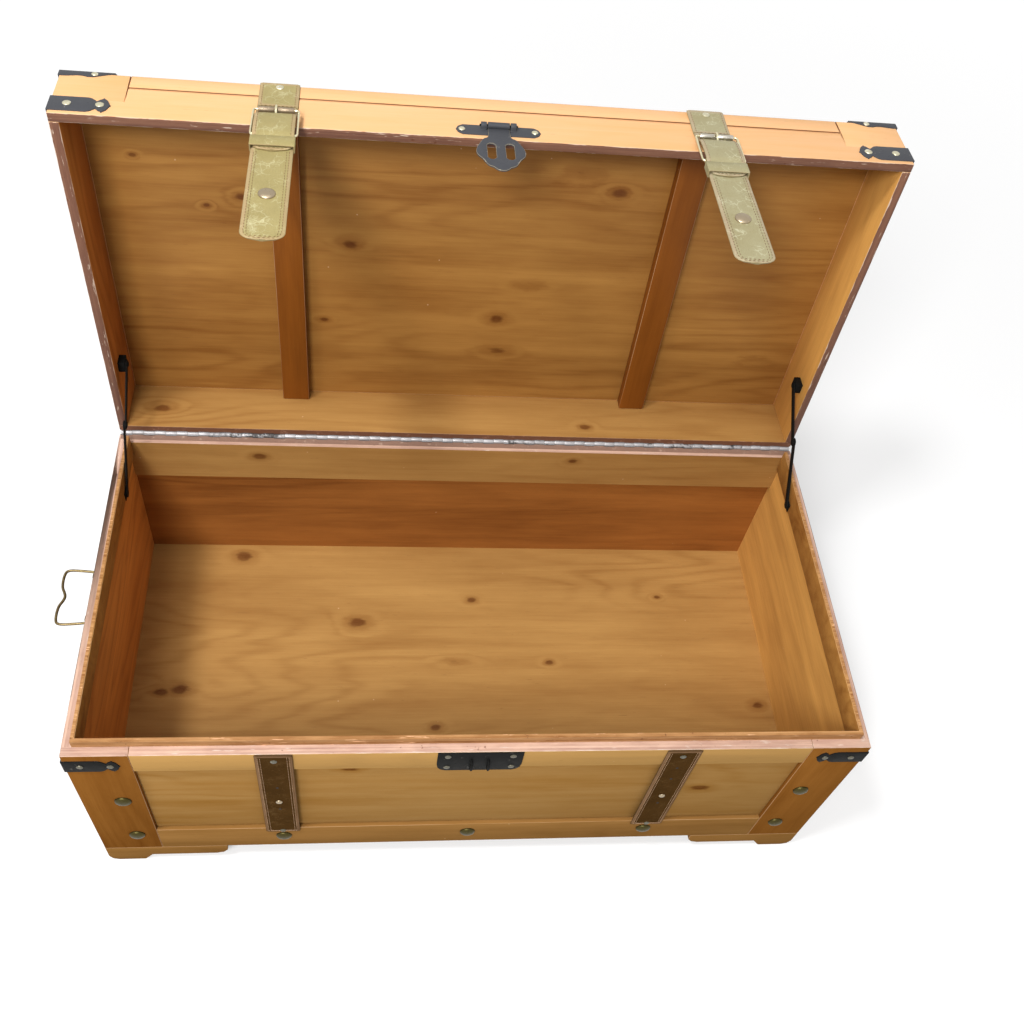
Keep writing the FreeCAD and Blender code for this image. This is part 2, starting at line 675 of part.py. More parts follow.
flap_outline = flip([
    ("hasp_offset + hasp_barrel_length / 2", HASP_Z),
    ("hasp_offset + hasp_barrel_length / 2", HASP_Z + " - flap_length * 0.22"),
    ("hasp_offset + flap_lobe * 0.64", HASP_Z + " - flap_length * 0.29"),
    ("hasp_offset + flap_lobe * 0.94", HASP_Z + " - flap_length * 0.47"),
    ("hasp_offset + flap_lobe", HASP_Z + " - flap_length * 0.62"),
    ("hasp_offset + flap_lobe * 0.84", HASP_Z + " - flap_length * 0.76"),
    ("hasp_offset + flap_lobe * 0.42", HASP_Z + " - flap_length * 0.91"),
    ("hasp_offset + flap_lobe * 0.12", HASP_Z + " - flap_length"),
], "hasp_offset")
FLAP_OUT = "(%s + plate_thick + flap_clear)" % HALF_Y
slots = []
for x in SLOT_X:
    half = "slot_width / 2"
    low = HASP_Z + " - slot_top - slot_length + slot_width / 2"
    high = HASP_Z + " - slot_top - slot_width / 2"
    slots.append(block(("%s - %s" % (x, half), "%s + %s" % (x, half)),
                       ("-%s - 2 * flap_thick" % FLAP_OUT, "-" + HALF_Y), (low, high)))
    for z in (low, high):
        reach = "plate_thick + flap_clear + 2 * flap_thick"
        slots.append(rod("-y", half, reach, x, "-" + HALF_Y, z, sides=16))
flap = cut(
    fuse(plate("XZ", FLAP_OUT, "flap_thick", flap_outline),
         rod("x", "hasp_barrel_radius", "hasp_barrel_length", "hasp_offset - hasp_barrel_length / 2",
             HASP_Y, HASP_Z, sides=16)),
    bore("hasp_pin_radius + running_clear", "hasp_barrel_length + 2",
         "hasp_offset - hasp_barrel_length / 2 - 1", HASP_Y, HASP_Z),
    *slots)
lid_node("hasp_flap", flap)

# Lid straps and, below each bend, the buckled end that swings outward.

BEND_Z = "(base_height + strap_bend_rise)"
BEND_OUT = "(leather_thick / 2 + 0.4)"
BAR_OUT = "(tail_gap + sleeve_wall + wire_radius)"
BAR_Z = "(base_height - buckle_drop)"
ROLLER_Z = "(base_height + buckle_rise)"
UNDER_ROLLER = "(%s - roller_radius - 0.3 - leather_thick / 2)" % BAR_OUT
OVER_BAR = "(%s + wire_radius + sleeve_wall + leather_thick / 2 + 0.05)" % BAR_OUT
ON_TAIL = "(tail_gap + leather_thick * 1.5 + 0.1)"
STRAP_PATH = [
    (BEND_Z, BEND_OUT),
    (ROLLER_Z + " + 8", "(%s + %s) / 2" % (BEND_OUT, UNDER_ROLLER)),
    (ROLLER_Z, UNDER_ROLLER),
    (ROLLER_Z + " - 9", UNDER_ROLLER + " + 0.3"),
    (BAR_Z + " + 3.5", OVER_BAR),
    (BAR_Z + " - 1.5", OVER_BAR),
    (BAR_Z + " - 7", ON_TAIL + " + 0.8"),
    (BAR_Z + " - 13.5", ON_TAIL),
    ("base_height - strap_tip_drop", ON_TAIL),
]


def at(out):
    """A y position that far in front of the chest's face."""
    return "-%s - (%s)" % (HALF_Y, out)


def tail_outline(x):
    """The tail seen from the front, with a rounded end."""
    end = "base_height - tail_drop"
    return flip([
        (x + " + strap_width / 2", BAR_Z),
        (x + " + strap_width / 2", end + " + strap_width * 0.3"),
        (x + " + strap_width * 0.42", end + " + strap_width * 0.14"),
        (x + " + strap_width * 0.27", end + " + strap_width * 0.03"),
        (x + " + strap_width * 0.12", end),
    ], x)


def buckle_frame(x):
    """A closed ring of wire, narrower at the chape bar."""
    reach = "buckle_reach"
    right = [("3", ROLLER_Z), (reach + " - 3", ROLLER_Z), (reach, ROLLER_Z + " - 3"),
             (reach, BAR_Z + " + 9"), (reach + " - 3", BAR_Z)]
    left = [("-(%s)" % a, b) for a, b in reversed(right)]
    path = [("0", ROLLER_Z)] + right[1:] + left[:-1]
    return wire("XZ", "x", "wire_radius", path, origin=(x, at(BAR_OUT), "0"), closed=True)


def prong(x):
    """A flat tongue looped round the chape bar, its tip lying on the roller."""
    over = "(%s + roller_radius + 0.3)" % BAR_OUT
    outline = [
        (at(BAR_OUT + " + wire_radius + 0.2"), BAR_Z + " + 0.5"),
        (at(over), ROLLER_Z + " - 5"),
        (at(over), ROLLER_Z + " + 2"),
        (at(over + " - 0.4"), ROLLER_Z + " + 5"),
        (at(over + " + 0.8"), ROLLER_Z + " + 5"),
        (at(over + " + 2.1"), ROLLER_Z + " + 1.5"),
        (at(over + " + 2.1"), ROLLER_Z + " - 5"),
        (at(BAR_OUT + " + wire_radius + sleeve_wall - 0.2"), BAR_Z + " + 0.5"),
    ]
    loop = rod("x", "wire_radius + sleeve_wall", "2.6", x + " - 1.3", at(BAR_OUT), BAR_Z, sides=16)
    eye = bore("wire_radius + running_clear", "6", x + " - 3", at(BAR_OUT), BAR_Z)
    return cut(fuse(plate("YZ", x + " - 1.3", "2.6", outline), loop), eye)


for label, x in (("left", "-strap_offset"), ("right", "strap_offset")):
    sides = (x + " - strap_width / 2", x + " + strap_width / 2")
    lid_node(label + "_lid_strap",
             block(sides, (at("leather_thick"), at("0")),
                   (BEND_Z + " + leather_thick / 2 + strap_bend_gap", TOP)))
    faces = [(at("%s - leather_thick / 2" % out), z) for z, out in STRAP_PATH]
    faces += [(at("%s + leather_thick / 2" % out), z) for z, out in reversed(STRAP_PATH)]
    holed = fuse(plate("YZ", sides[0], "strap_width", faces),
                 rod("x", "leather_thick / 2", "strap_width", sides[0], at(BEND_OUT), BEND_Z, sides=16))
    prong_hole = block((x + " - 2.6", x + " + 2.6"), (at("30"), at("0")),
                       (BAR_Z + " + 2.5", BAR_Z + " + 18"))
    lid_node(label + "_strap_end", cut(holed, prong_hole))
    sleeve = rod("x", "wire_radius + sleeve_wall", "2 * (buckle_reach - 6)", x + " - (buckle_reach - 6)",
                 at(BAR_OUT), BAR_Z, sides=16)
    notch = block((x + " - 2", x + " + 2"), (at("20"), at("0")), (BAR_Z + " - 3.5", BAR_Z + " + 10"))
    bar_room = bore("wire_radius + running_clear", "2 * buckle_reach",
                    x + " - buckle_reach", at(BAR_OUT), BAR_Z)
    keeper = cut(
        block((sides[0] + " - 0.5 - keeper_wall", sides[1] + " + 0.5 + keeper_wall"),
              (at("tail_gap + 2 * leather_thick + 1.5 + keeper_wall"), at("tail_gap - keeper_wall")),
              ("base_height - keeper_bottom", "base_height - keeper_top")),
        block((sides[0] + " - 0.5", sides[1] + " + 0.5"),
              (at("tail_gap + 2 * leather_thick + 1.5"), at("tail_gap")),
              ("base_height - keeper_bottom - 1", "base_height - keeper_top + 1")))
    tail = cut(fuse(plate("XZ", HALF_Y + " + tail_gap", "leather_thick", tail_outline(x)), sleeve, keeper),
               notch, bar_room)
    lid_node(label + "_strap_tail", tail)
    cap = dome("snap_radius", "snap_height", x, at("tail_gap + leather_thick"), SNAP_Z)
    lid_node(label + "_snap_cap", cap)
    lid_node(label + "_buckle", buckle_frame(x), prong(x))
    start = x + " - roller_length / 2"
    tube = cut(rod("x", "roller_radius", "roller_length", start, at(BAR_OUT), ROLLER_Z, sides=20),
               bore("wire_radius + roller_clear", "roller_length + 2",
                    start + " - 1", at(BAR_OUT), ROLLER_Z))
    lid_node(label + "_roller", tube)

# Folding stays: bracket, lower arm, upper arm and lid bracket, side by side in X.

LAYER = "(%s + plate_thick + arm_gap)" % LIP_FACE
LAYER_TWO = "(%s + arm_thick + arm_gap)" % LAYER
BASE_PIVOT = ("(%s - stay_base_run)" % HALF_Y, "(base_height - stay_base_drop)")
LID_PIVOT = ("(%s - stay_lid_run)" % HALF_Y, "(base_height + stay_lid_rise)")
OPEN_PIVOT = (
    "(%s - stay_lid_run * cos(%s) + stay_lid_rise * sin(%s))" % (HALF_Y, OPEN, OPEN),
    "(base_height + stay_lid_run * sin(%s) + stay_lid_rise * cos(%s))" % (OPEN, OPEN))
SPAN_Y = "(%s - %s)" % (OPEN_PIVOT[0], BASE_PIVOT[0])
SPAN_Z = "(%s - %s)" % (OPEN_PIVOT[1], BASE_PIVOT[1])
SPAN = "sqrt(%s^2 + %s^2)" % (SPAN_Y, SPAN_Z)
LOWER = "(%s * stay_slack * lower_arm_share)" % SPAN
UPPER = "(%s * stay_slack * (1 - lower_arm_share))" % SPAN
LINE = "atan2(%s; %s)" % (SPAN_Z, SPAN_Y)
LOWER_ANGLE = "(%s + acos((%s^2 + %s^2 - %s^2) / (2 * %s * %s)))" % (LINE, LOWER, SPAN, UPPER, LOWER, SPAN)
UPPER_ANGLE = "(%s - acos((%s^2 + %s^2 - %s^2) / (2 * %s * %s)))" % (LINE, UPPER, SPAN, LOWER, UPPER, SPAN)


def arm(layer, pivot, length, side):
    """A flat bar from its pivot eye to its elbow, along +Y or -Y."""
    y, z = pivot
    far = "%s + %d * %s" % (y, side, length)
    ends = (y, far) if side > 0 else (far, y)
    bar = fuse(
        block((layer, layer + " + arm_thick"), ends, (z + " - arm_width / 2", z + " + arm_width / 2")),
        rod("x", "arm_eye_radius", "arm_thick", layer, y, z, sides=16),
        rod("x", "arm_eye_radius", "arm_thick", layer, far, z, sides=16))
    return cut(bar, bore("stay_pin_radius + running_clear", "3 * arm_thick", layer + " - arm_thick", y, z))


lower = turned([arm(LAYER, BASE_PIVOT, LOWER, 1)], *BASE_PIVOT, LOWER_ANGLE, outward=False)
node("left_lower_arm", lower)
node("right_lower_arm", mirrored(lower, x=1))
elbow_head = rod("x", "stay_pin_radius * 1.7", "arm_thick * 0.7", LAYER_TWO + " + arm_thick * 0.9",
                 "%s - %s" % (OPEN_PIVOT[0], UPPER), OPEN_PIVOT[1], sides=16)
upper = turned([fuse(arm(LAYER_TWO, OPEN_PIVOT, UPPER, -1), elbow_head)], *OPEN_PIVOT, UPPER_ANGLE,
               outward=False)
node("left_upper_arm", upper)
node("right_upper_arm", mirrored(upper, x=1))

y, z = BASE_PIVOT
base_bracket = fuse(
    block((LIP_FACE, LIP_FACE + " + plate_thick"), (y + " - stay_plate_half", y + " + stay_plate_half"),
          (z + " - stay_plate_half", z + " + stay_plate_half")),
    rod("x", "stay_pin_radius", "plate_thick + arm_gap + arm_thick", LIP_FACE, y, z, sides=16))
node("stay_base_brackets", base_bracket, mirrored(base_bracket, x=1))
y, z = LID_PIVOT
lid_bracket = fuse(
    block(("-" + INSIDE_X, LAYER_TWO + " - arm_gap"), (y + " - stay_plate_half", y + " + stay_plate_half"),
          (z + " - stay_plate_half", z + " + stay_plate_half * 1.3")),
    rod("x", "stay_pin_radius", "arm_gap * 3 + arm_thick", LAYER_TWO + " - arm_gap", y, z, sides=16),
    rod("x", "stay_pin_radius * 1.6", "arm_thick * 0.6",
        LAYER_TWO + " + arm_thick + arm_gap", y, z, sides=16))
lid_node("stay_lid_brackets", lid_bracket, mirrored(lid_bracket, x=1))

# Bail handles on the sides: two eyes and a swinging wire grip with a dip in its middle.

EYE_Y = "handle_span / 2"
HANDLE_Z = "(base_height - handle_drop)"
EYE_X = "(-%s - handle_out)" % HALF_X
posts = []
for side in (-1, 1):
    y = "%d * %s" % (side, EYE_Y)
    posts.append(cut(
        fuse(rod("-x", "handle_rose_radius", "2", "-" + HALF_X, y, HANDLE_Z, sides=16),
             rod("-x", "handle_eye_radius * 0.65", "handle_out", "-" + HALF_X, y, HANDLE_Z, sides=16),
             rod("y", "handle_eye_radius", "handle_eye_width", EYE_X, y + " - handle_eye_width / 2",
                 HANDLE_Z, sides=16)),
        bore("bail_radius + bail_clear", "handle_eye_width + 2", EYE_X,
             y + " - handle_eye_width / 2 - 1", HANDLE_Z, "y")))
node("left_handle_posts", *posts)
node("right_handle_posts", *[mirrored(post, x=1) for post in posts])

HALF_BAIL = [
    ("0", "handle_span / 2 - handle_eye_width / 2 - 1"),
    ("0", "bail_half_width - 3"),
    ("-2", "bail_half_width"),
    ("-handle_reach + 6", "bail_half_width + 3"),
    ("-handle_reach", "bail_half_width - 3"),
    ("-handle_reach", "bail_half_width * 0.35"),
    ("-handle_reach + bail_dip * 0.8", "bail_half_width * 0.12"),
]
bail_path = [(x, "-(%s)" % y) for x, y in HALF_BAIL] + [("-handle_reach + bail_dip", "0")]
bail_path += [(x, y) for x, y in reversed(HALF_BAIL)]
bail = wire("XY", "y", "bail_radius", bail_path)
node("left_bail", group([bail], EYE_X, "0", HANDLE_Z))
node("right_bail", group([bail], "-" + EYE_X, "0", HANDLE_Z, Rotation(V(0, 1, 0), -90)))

doc.recompute()
for obj in doc.Objects:
    if "Invalid" in obj.State or "Error" in obj.State:
        raise RuntimeError("%s did not build" % obj.Label)
for obj in nodes:
    if obj.Shape.isNull() or not obj.Shape.isValid() or not obj.Shape.Solids:
        raise RuntimeError("%s has no sound shape" % obj.Label)

os.makedirs("parts", exist_ok=True)
for obj in nodes:
    obj.Shape.exportStep("parts/%s.step" % obj.Label)
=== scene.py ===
"""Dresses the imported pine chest: worn boards, black ironwork, leather straps, hinge, stays and bails."""

import json
import math
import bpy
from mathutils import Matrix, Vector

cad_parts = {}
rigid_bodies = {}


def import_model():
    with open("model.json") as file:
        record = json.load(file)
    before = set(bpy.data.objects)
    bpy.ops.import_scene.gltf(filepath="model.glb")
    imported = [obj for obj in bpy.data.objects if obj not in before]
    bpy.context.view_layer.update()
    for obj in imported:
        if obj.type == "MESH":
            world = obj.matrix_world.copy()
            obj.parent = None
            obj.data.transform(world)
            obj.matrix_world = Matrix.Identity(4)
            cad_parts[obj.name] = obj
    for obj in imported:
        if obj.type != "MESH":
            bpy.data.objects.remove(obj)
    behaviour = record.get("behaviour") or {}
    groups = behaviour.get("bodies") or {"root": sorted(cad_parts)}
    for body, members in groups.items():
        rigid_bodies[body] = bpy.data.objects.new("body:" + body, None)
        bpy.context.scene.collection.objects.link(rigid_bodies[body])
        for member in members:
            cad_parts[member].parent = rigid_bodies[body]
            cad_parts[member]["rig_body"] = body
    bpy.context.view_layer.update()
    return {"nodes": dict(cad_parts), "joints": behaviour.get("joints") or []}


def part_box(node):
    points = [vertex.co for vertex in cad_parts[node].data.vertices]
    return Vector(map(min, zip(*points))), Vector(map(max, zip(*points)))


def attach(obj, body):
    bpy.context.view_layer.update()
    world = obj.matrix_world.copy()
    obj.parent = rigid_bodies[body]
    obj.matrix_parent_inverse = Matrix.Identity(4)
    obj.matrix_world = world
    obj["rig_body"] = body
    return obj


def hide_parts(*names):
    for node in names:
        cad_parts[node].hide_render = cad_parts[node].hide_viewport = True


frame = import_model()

import zlib
from itertools import accumulate

import bmesh
import bpy
from bpy.props import FloatProperty, FloatVectorProperty, IntProperty, PointerProperty
from mathutils import Matrix, Vector, noise

bl_info = {
    "name": "Pine Chest Finisher",
    "version": (1, 0, 0),
    "blender": (4, 5, 0),
    "location": "3D View > Sidebar > Chest",
    "description": "Builds the finish, ironwork and straps of a pine blanket chest on its packed frame",
    "category": "Object",
}

MM = 0.001
SIDES = ("left", "right")

# Where the chest stands in the frame.

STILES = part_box("front_stiles")
HALF_X = STILES[1].x
HALF_Y = -STILES[0].y
RIM = STILES[1].z
JOINTS = {joint["name"]: joint for joint in frame["joints"]}
HINGE = Vector(JOINTS["lid_hinge"]["pos_m"])
HASP_AXIS = Vector(JOINTS["hasp_flap_hinge"]["pos_m"])


def about(point, degrees, axis):
    """A turn about an axis through a point."""
    turn = Matrix.Rotation(math.radians(degrees), 4, axis)
    return Matrix.Translation(point) @ turn @ Matrix.Translation(-point)


SWING = about(HINGE, -JOINTS["lid_hinge"]["range_deg"][1], "X")
STILL = Matrix.Identity(4)


def body_of(node):
    """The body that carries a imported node."""
    return frame["nodes"][node]["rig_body"]


def shut_to_rest(body):
    """The move from the shut lid's place, in which shapes are drawn, to the open place at rest."""
    return STILL if body == "base" or "handle" in body or "lower" in body else SWING


def box_of(points):
    """The low and high corners of points."""
    return [Vector([pick(p[i] for p in points) for i in range(3)]) for pick in (min, max)]


def shut_box(node):
    """A node's box with the lid shut."""
    back = shut_to_rest(body_of(node)).inverted()
    return box_of([back @ v.co for v in frame["nodes"][node].data.vertices])


# Heights and places with the lid shut.

TOP = shut_box("lid_top")[1].z
WALL = STILES[1].y + HALF_Y
HIDDEN_SEAM = shut_box("lid_lower_rail")[1].z
GROOVE = shut_box("lid_front_board")[1].z
GROOVE_END = shut_box("lid_front_board")[1].x
SHEET = 1.2 * MM


# Colours and sizes that a user may change.

def sizes():
    """The sizes of details, as a user has set them."""
    return bpy.context.scene.chest_sizes


def tint(hexadecimal):
    """A screen colour as the linear colour that a shader takes."""
    parts = [int(hexadecimal[i:i + 2], 16) / 255 for i in (0, 2, 4)]
    return tuple(p / 12.92 if p < 0.04045 else ((p + 0.055) / 1.055) ** 2.4 for p in parts)


def shade(given, brightness=1.0):
    """A linear colour from a stain's name, hexadecimal digits or three numbers, times a brightness."""
    if isinstance(given, str):
        given = getattr(bpy.context.scene.chest_stains, given, None) or tint(given)
    return tuple(part * brightness for part in given)


def colour(name, text, hexadecimal):
    """A colour property."""
    return FloatVectorProperty(name=name, description=text, default=tint(hexadecimal), size=3, min=0, max=1,
                               subtype="COLOR")


def length(name, text, millimetres):
    """A length property, given in millimetres."""
    return FloatProperty(name=name, description=text, default=millimetres * MM, min=0, unit="LENGTH",
                         precision=5)


class ChestStains(bpy.types.PropertyGroup):
    """Wood, leather and metal colours."""
    inside: colour("Inside", "Stain inside the lid", "ad7d3f")
    inside_late: colour("Inside figure", "Darker lines of the stained wood", "7a4a1c")
    floor: colour("Floor", "Stain of the floor board", "b0864c")
    floor_late: colour("Floor figure", "Darker lines of the floor board", "85592a")
    wall: colour("Wall", "Stain of the darker inner walls", "a8652a")
    wall_late: colour("Wall figure", "Darker lines of the inner walls", "6e3a10")
    panel: colour("Panel", "Front, side and back panels", "a47f4c")
    panel_late: colour("Panel figure", "Darker lines of the panels", "85591e")
    stile: colour("Stile", "Corner boards", "8c5c28")
    stile_late: colour("Stile figure", "Darker lines of the corner boards", "6b3f14")
    lid: colour("Lid", "Pale outside of the lid", "e7b589")
    lid_late: colour("Lid figure", "Darker lines of the lid's outside", "d29f5c")
    knot: colour("Knot", "Heart of a knot", "55290c")
    # Painted shade: the dark colour laid in the lid's grooves, as shade in the recess.
    grime: colour("Grime", "Dark grime in the lid's grooves", "5c2f10")
    rim: colour("Rim", "Worn top edge of the chest", "d0ae99")
    rim_dark: colour("Rim grime", "Grime in the grain of the top edge", "9c786a")
    lid_rim: colour("Lid rim", "Edge of the lid that meets the chest", "7c5642")
    lip: colour("Lip", "Thin strips that stand inside the walls", "bd8e5d")
    bare: colour("Bare wood", "Wood where the stain is rubbed off", "ceab86")
    iron: colour("Iron", "Black painted steel", "141413")
    grey_iron: colour("Grey iron", "Faded black steel of the lid", "424347")
    # Painted light: a paler grey copy of the black steel, for the light that falls on the lid's upward-facing
    # ironwork.
    scuffed: colour("Scuffed iron", "Steel where the paint is worn", "5c5a55")
    nail: colour("Nail", "Nail heads", "5f5c4e")
    stud: colour("Stud", "Domed studs", "443d1c")
    snap: colour("Snap", "Snap fasteners", "a5957c")
    left_khaki: colour("Left strap", "Leather of the left lid strap", "9e9160")
    right_khaki: colour("Right strap", "Leather of the right lid strap", "9b9473")
    khaki_dark: colour("Khaki creases", "Creases and grime of the lid straps", "7d7045")
    brown: colour("Brown leather", "Base straps", "4c351a")
    brown_dark: colour("Brown creases", "Creases of the base straps", "2b1b09")
    thread: colour("Thread", "Stitching of the base straps", "c39c78")
    buckle: colour("Buckle", "Buckle frame and prong", "ddd4b0")
    roller: colour("Roller", "Buckle rollers", "b9b3a6")
    hinge: colour("Hinge", "Plated piano hinge", "a9a7a8")
    bail: colour("Bail", "Carrying handles", "6a5a3c")


class ChestSizes(bpy.types.PropertyGroup):
    """Sizes of details that the frame doesn't give."""
    board_ease: length("Board ease", "Rounding of the boards' worn edges", 1.1)
    metal_ease: length("Metal ease", "Rounding of sheet metal edges", 0.35)
    stitch_inset: length("Stitch inset", "From a strap's edge to its stitches", 3.4)
    stitch_length: length("Stitch length", "Length of one stitch", 3.0)
    stitch_gap: length("Stitch gap", "Gap between stitches", 1.3)
    knuckle: length("Knuckle", "Length of one hinge knuckle", 14)
    crease_depth: length("Crease depth", "Unevenness of the leather", 0.22)
    facets: IntProperty(name="Facets", description="Sides of a round head", default=20, min=8, max=64)


# Shader maths.

def arithmetic(operation, reflected=False):
    """A method of Signal that adds one Math node."""
    def method(self, other):
        first, second = (other, self) if reflected else (self, other)
        return self.paint.number(operation, first, second)
    return method


class Signal:
    """A shader output; arithmetic on it adds the Math nodes that do it."""

    def __init__(self, paint, socket):
        self.paint = paint
        self.socket = socket

    __add__, __radd__ = arithmetic("ADD"), arithmetic("ADD", True)
    __sub__, __rsub__ = arithmetic("SUBTRACT"), arithmetic("SUBTRACT", True)
    __mul__, __rmul__ = arithmetic("MULTIPLY"), arithmetic("MULTIPLY", True)
    __pow__, __rpow__ = arithmetic("POWER"), arithmetic("POWER", True)


class Paint:
    """The nodes of a material or a world under construction."""

    def __init__(self, name, shelf=None):
        self.owner = (bpy.data.materials if shelf is None else shelf).new(name)
        self.owner.use_nodes = True
        self.tree = self.owner.node_tree
        self.tree.nodes.clear()

    def add(self, kind, settings=None, values=None, output=0):
        """Adds a node: its settings first, then the values or links of its sockets."""
        made = self.tree.nodes.new(kind)
        for name, value in (settings or {}).items():
            setattr(made, name, value)
        for name, value in (values or {}).items():
            if isinstance(value, Signal):
                self.tree.links.new(value.socket, made.inputs[name])
            else:
                made.inputs[name].default_value = value
        return Signal(self, made.outputs[output]) if made.outputs else None

    def number(self, operation, *operands, **settings):
        """A Math node."""
        return self.add("ShaderNodeMath", {"operation": operation, **settings}, dict(enumerate(operands)))

    def vector(self, operation, *operands, output=0):
        """A Vector Math node."""
        return self.add("ShaderNodeVectorMath", {"operation": operation}, dict(enumerate(operands)), output)

    def attribute(self, name, output):
        """A mesh attribute: output 1 is its vector and 2 its number."""
        return self.add("ShaderNodeAttribute", {"attribute_name": name}, output=output)

    def place(self):
        """The point on the piece, in metres."""
        return self.add("ShaderNodeTexCoord", output=3)

    def scaled(self, vector, factors):
        """A vector stretched by three factors."""
        return self.vector("MULTIPLY", vector, factors)

    def reach(self, vector, point, factors):
        """The length of the stretched way from a point."""
        return self.vector("LENGTH", self.scaled(self.vector("SUBTRACT", vector, point), factors), output=1)

    def grain_noise(self, vector, seed, detail=3, rough=0.55, scale=1):
        """Noise from 0 to 1 that differs for each seed."""
        return self.add("ShaderNodeTexNoise", {"noise_dimensions": "4D"},
                        {"Vector": vector, "W": seed, "Scale": scale, "Detail": detail, "Roughness": rough})

    def fibres(self, grain, along, across, seed, detail=3, rough=0.55):
        """Noise drawn out along the grain."""
        return self.grain_noise(self.scaled(grain, (along, across, across)), seed, detail, rough)

    def cells(self, vector, feature="F1", scale=1, randomness=1):
        """A Voronoi pattern."""
        return self.add("ShaderNodeTexVoronoi", {"feature": feature},
                        {"Vector": vector, "Scale": scale, "Randomness": randomness})

    def smooth(self, value, low, high):
        """0 below low and 1 above high, with a soft step between them."""
        return self.add("ShaderNodeMapRange", {"interpolation_type": "SMOOTHSTEP"},
                        {0: value, 1: low, 2: high, 3: 0.0, 4: 1.0})

    def wave(self, value):
        """A sine of the value from 0 to 1."""
        return self.number("SINE", value) * 0.5 + 0.5

    def clear(self, value):
        """The value held between 0 and 1."""
        return self.number("ADD", value, 0.0, use_clamp=True)

    def mix(self, share, first, second):
        """Two colours, each a signal or what shade takes, mixed by a share of the second."""
        first, second = (c if isinstance(c, Signal) else (*shade(c), 1) for c in (first, second))
        return self.add("ShaderNodeMix", {"data_type": "RGBA"}, {0: share, 6: first, 7: second}, 2)

    def coats(self, base, *coats):
        """A colour with coats laid over it in turn, each a share and a colour."""
        for share, over in coats:
            base = self.mix(share, base, over)
        return base

    def shine(self, height, strength, depth):
        """A normal bent by a height."""
        return self.add("ShaderNodeBump", None, {"Strength": strength, "Distance": depth, "Height": height})

    def done(self, base, roughness, normal=None, metallic=0.0, gloss=0.5):
        """Joins a surface to the output and gives the material."""
        values = {"Base Color": base, "Roughness": roughness, "Metallic": metallic,
                  "Specular IOR Level": gloss}
        if normal is not None:
            values["Normal"] = normal
        self.show(self.add("ShaderNodeBsdfPrincipled", None, values))
        return self.owner

    def show(self, surface, output="ShaderNodeOutputMaterial"):
        """Joins the last node to the output."""
        self.add(output, None, {"Surface": surface})


# Knots as along, across and up, with the lid shut, then radius: all in metres.

INSIDE_KNOTS = [
    (-0.309, 0.194, 0.075, 0.0075), (-0.143, 0.083, 0.075, 0.0082), (0.020, 0.121, 0.075, 0.0045),
    (0.126, 0.018, 0.075, 0.0038), (0.298, 0.128, 0.075, 0.0030), (0.418, -0.051, 0.075, 0.0052),
    (-0.376, -0.022, 0.075, 0.0082), (-0.402, -0.026, 0.075, 0.0060), (-0.037, -0.081, 0.075, 0.0045),
    (-0.157, -0.030, 0.384, 0.0060), (-0.190, 0.087, 0.384, 0.0038),
    (0.028, 0.075, 0.384, 0.0068), (0.153, -0.120, 0.384, 0.0060), (-0.392, -0.135, 0.384, 0.0022),
    (-0.319, -0.075, 0.384, 0.0025), (-0.279, -0.088, 0.384, 0.0048),
    (-0.274, 0.209, 0.287, 0.0060), (0.144, 0.209, 0.291, 0.0045), (-0.400, 0.214, 0.345, 0.0068),
    (0.160, 0.214, 0.330, 0.0045),
]
PANEL_KNOTS = [
    (-0.147, -0.220, 0.259, 0.007), (0.277, -0.220, 0.189, 0.008), (0.091, -0.220, 0.268, 0.006),
    (-0.300, 0.220, 0.160, 0.009), (0.200, 0.220, 0.210, 0.008),
]
FINISHES = {}
FULL_TURN = 6.283


def finish(name):
    """A named material, made when it is first asked for."""
    if name not in FINISHES:
        FINISHES[name] = MAKERS[name]()
    return FINISHES[name]


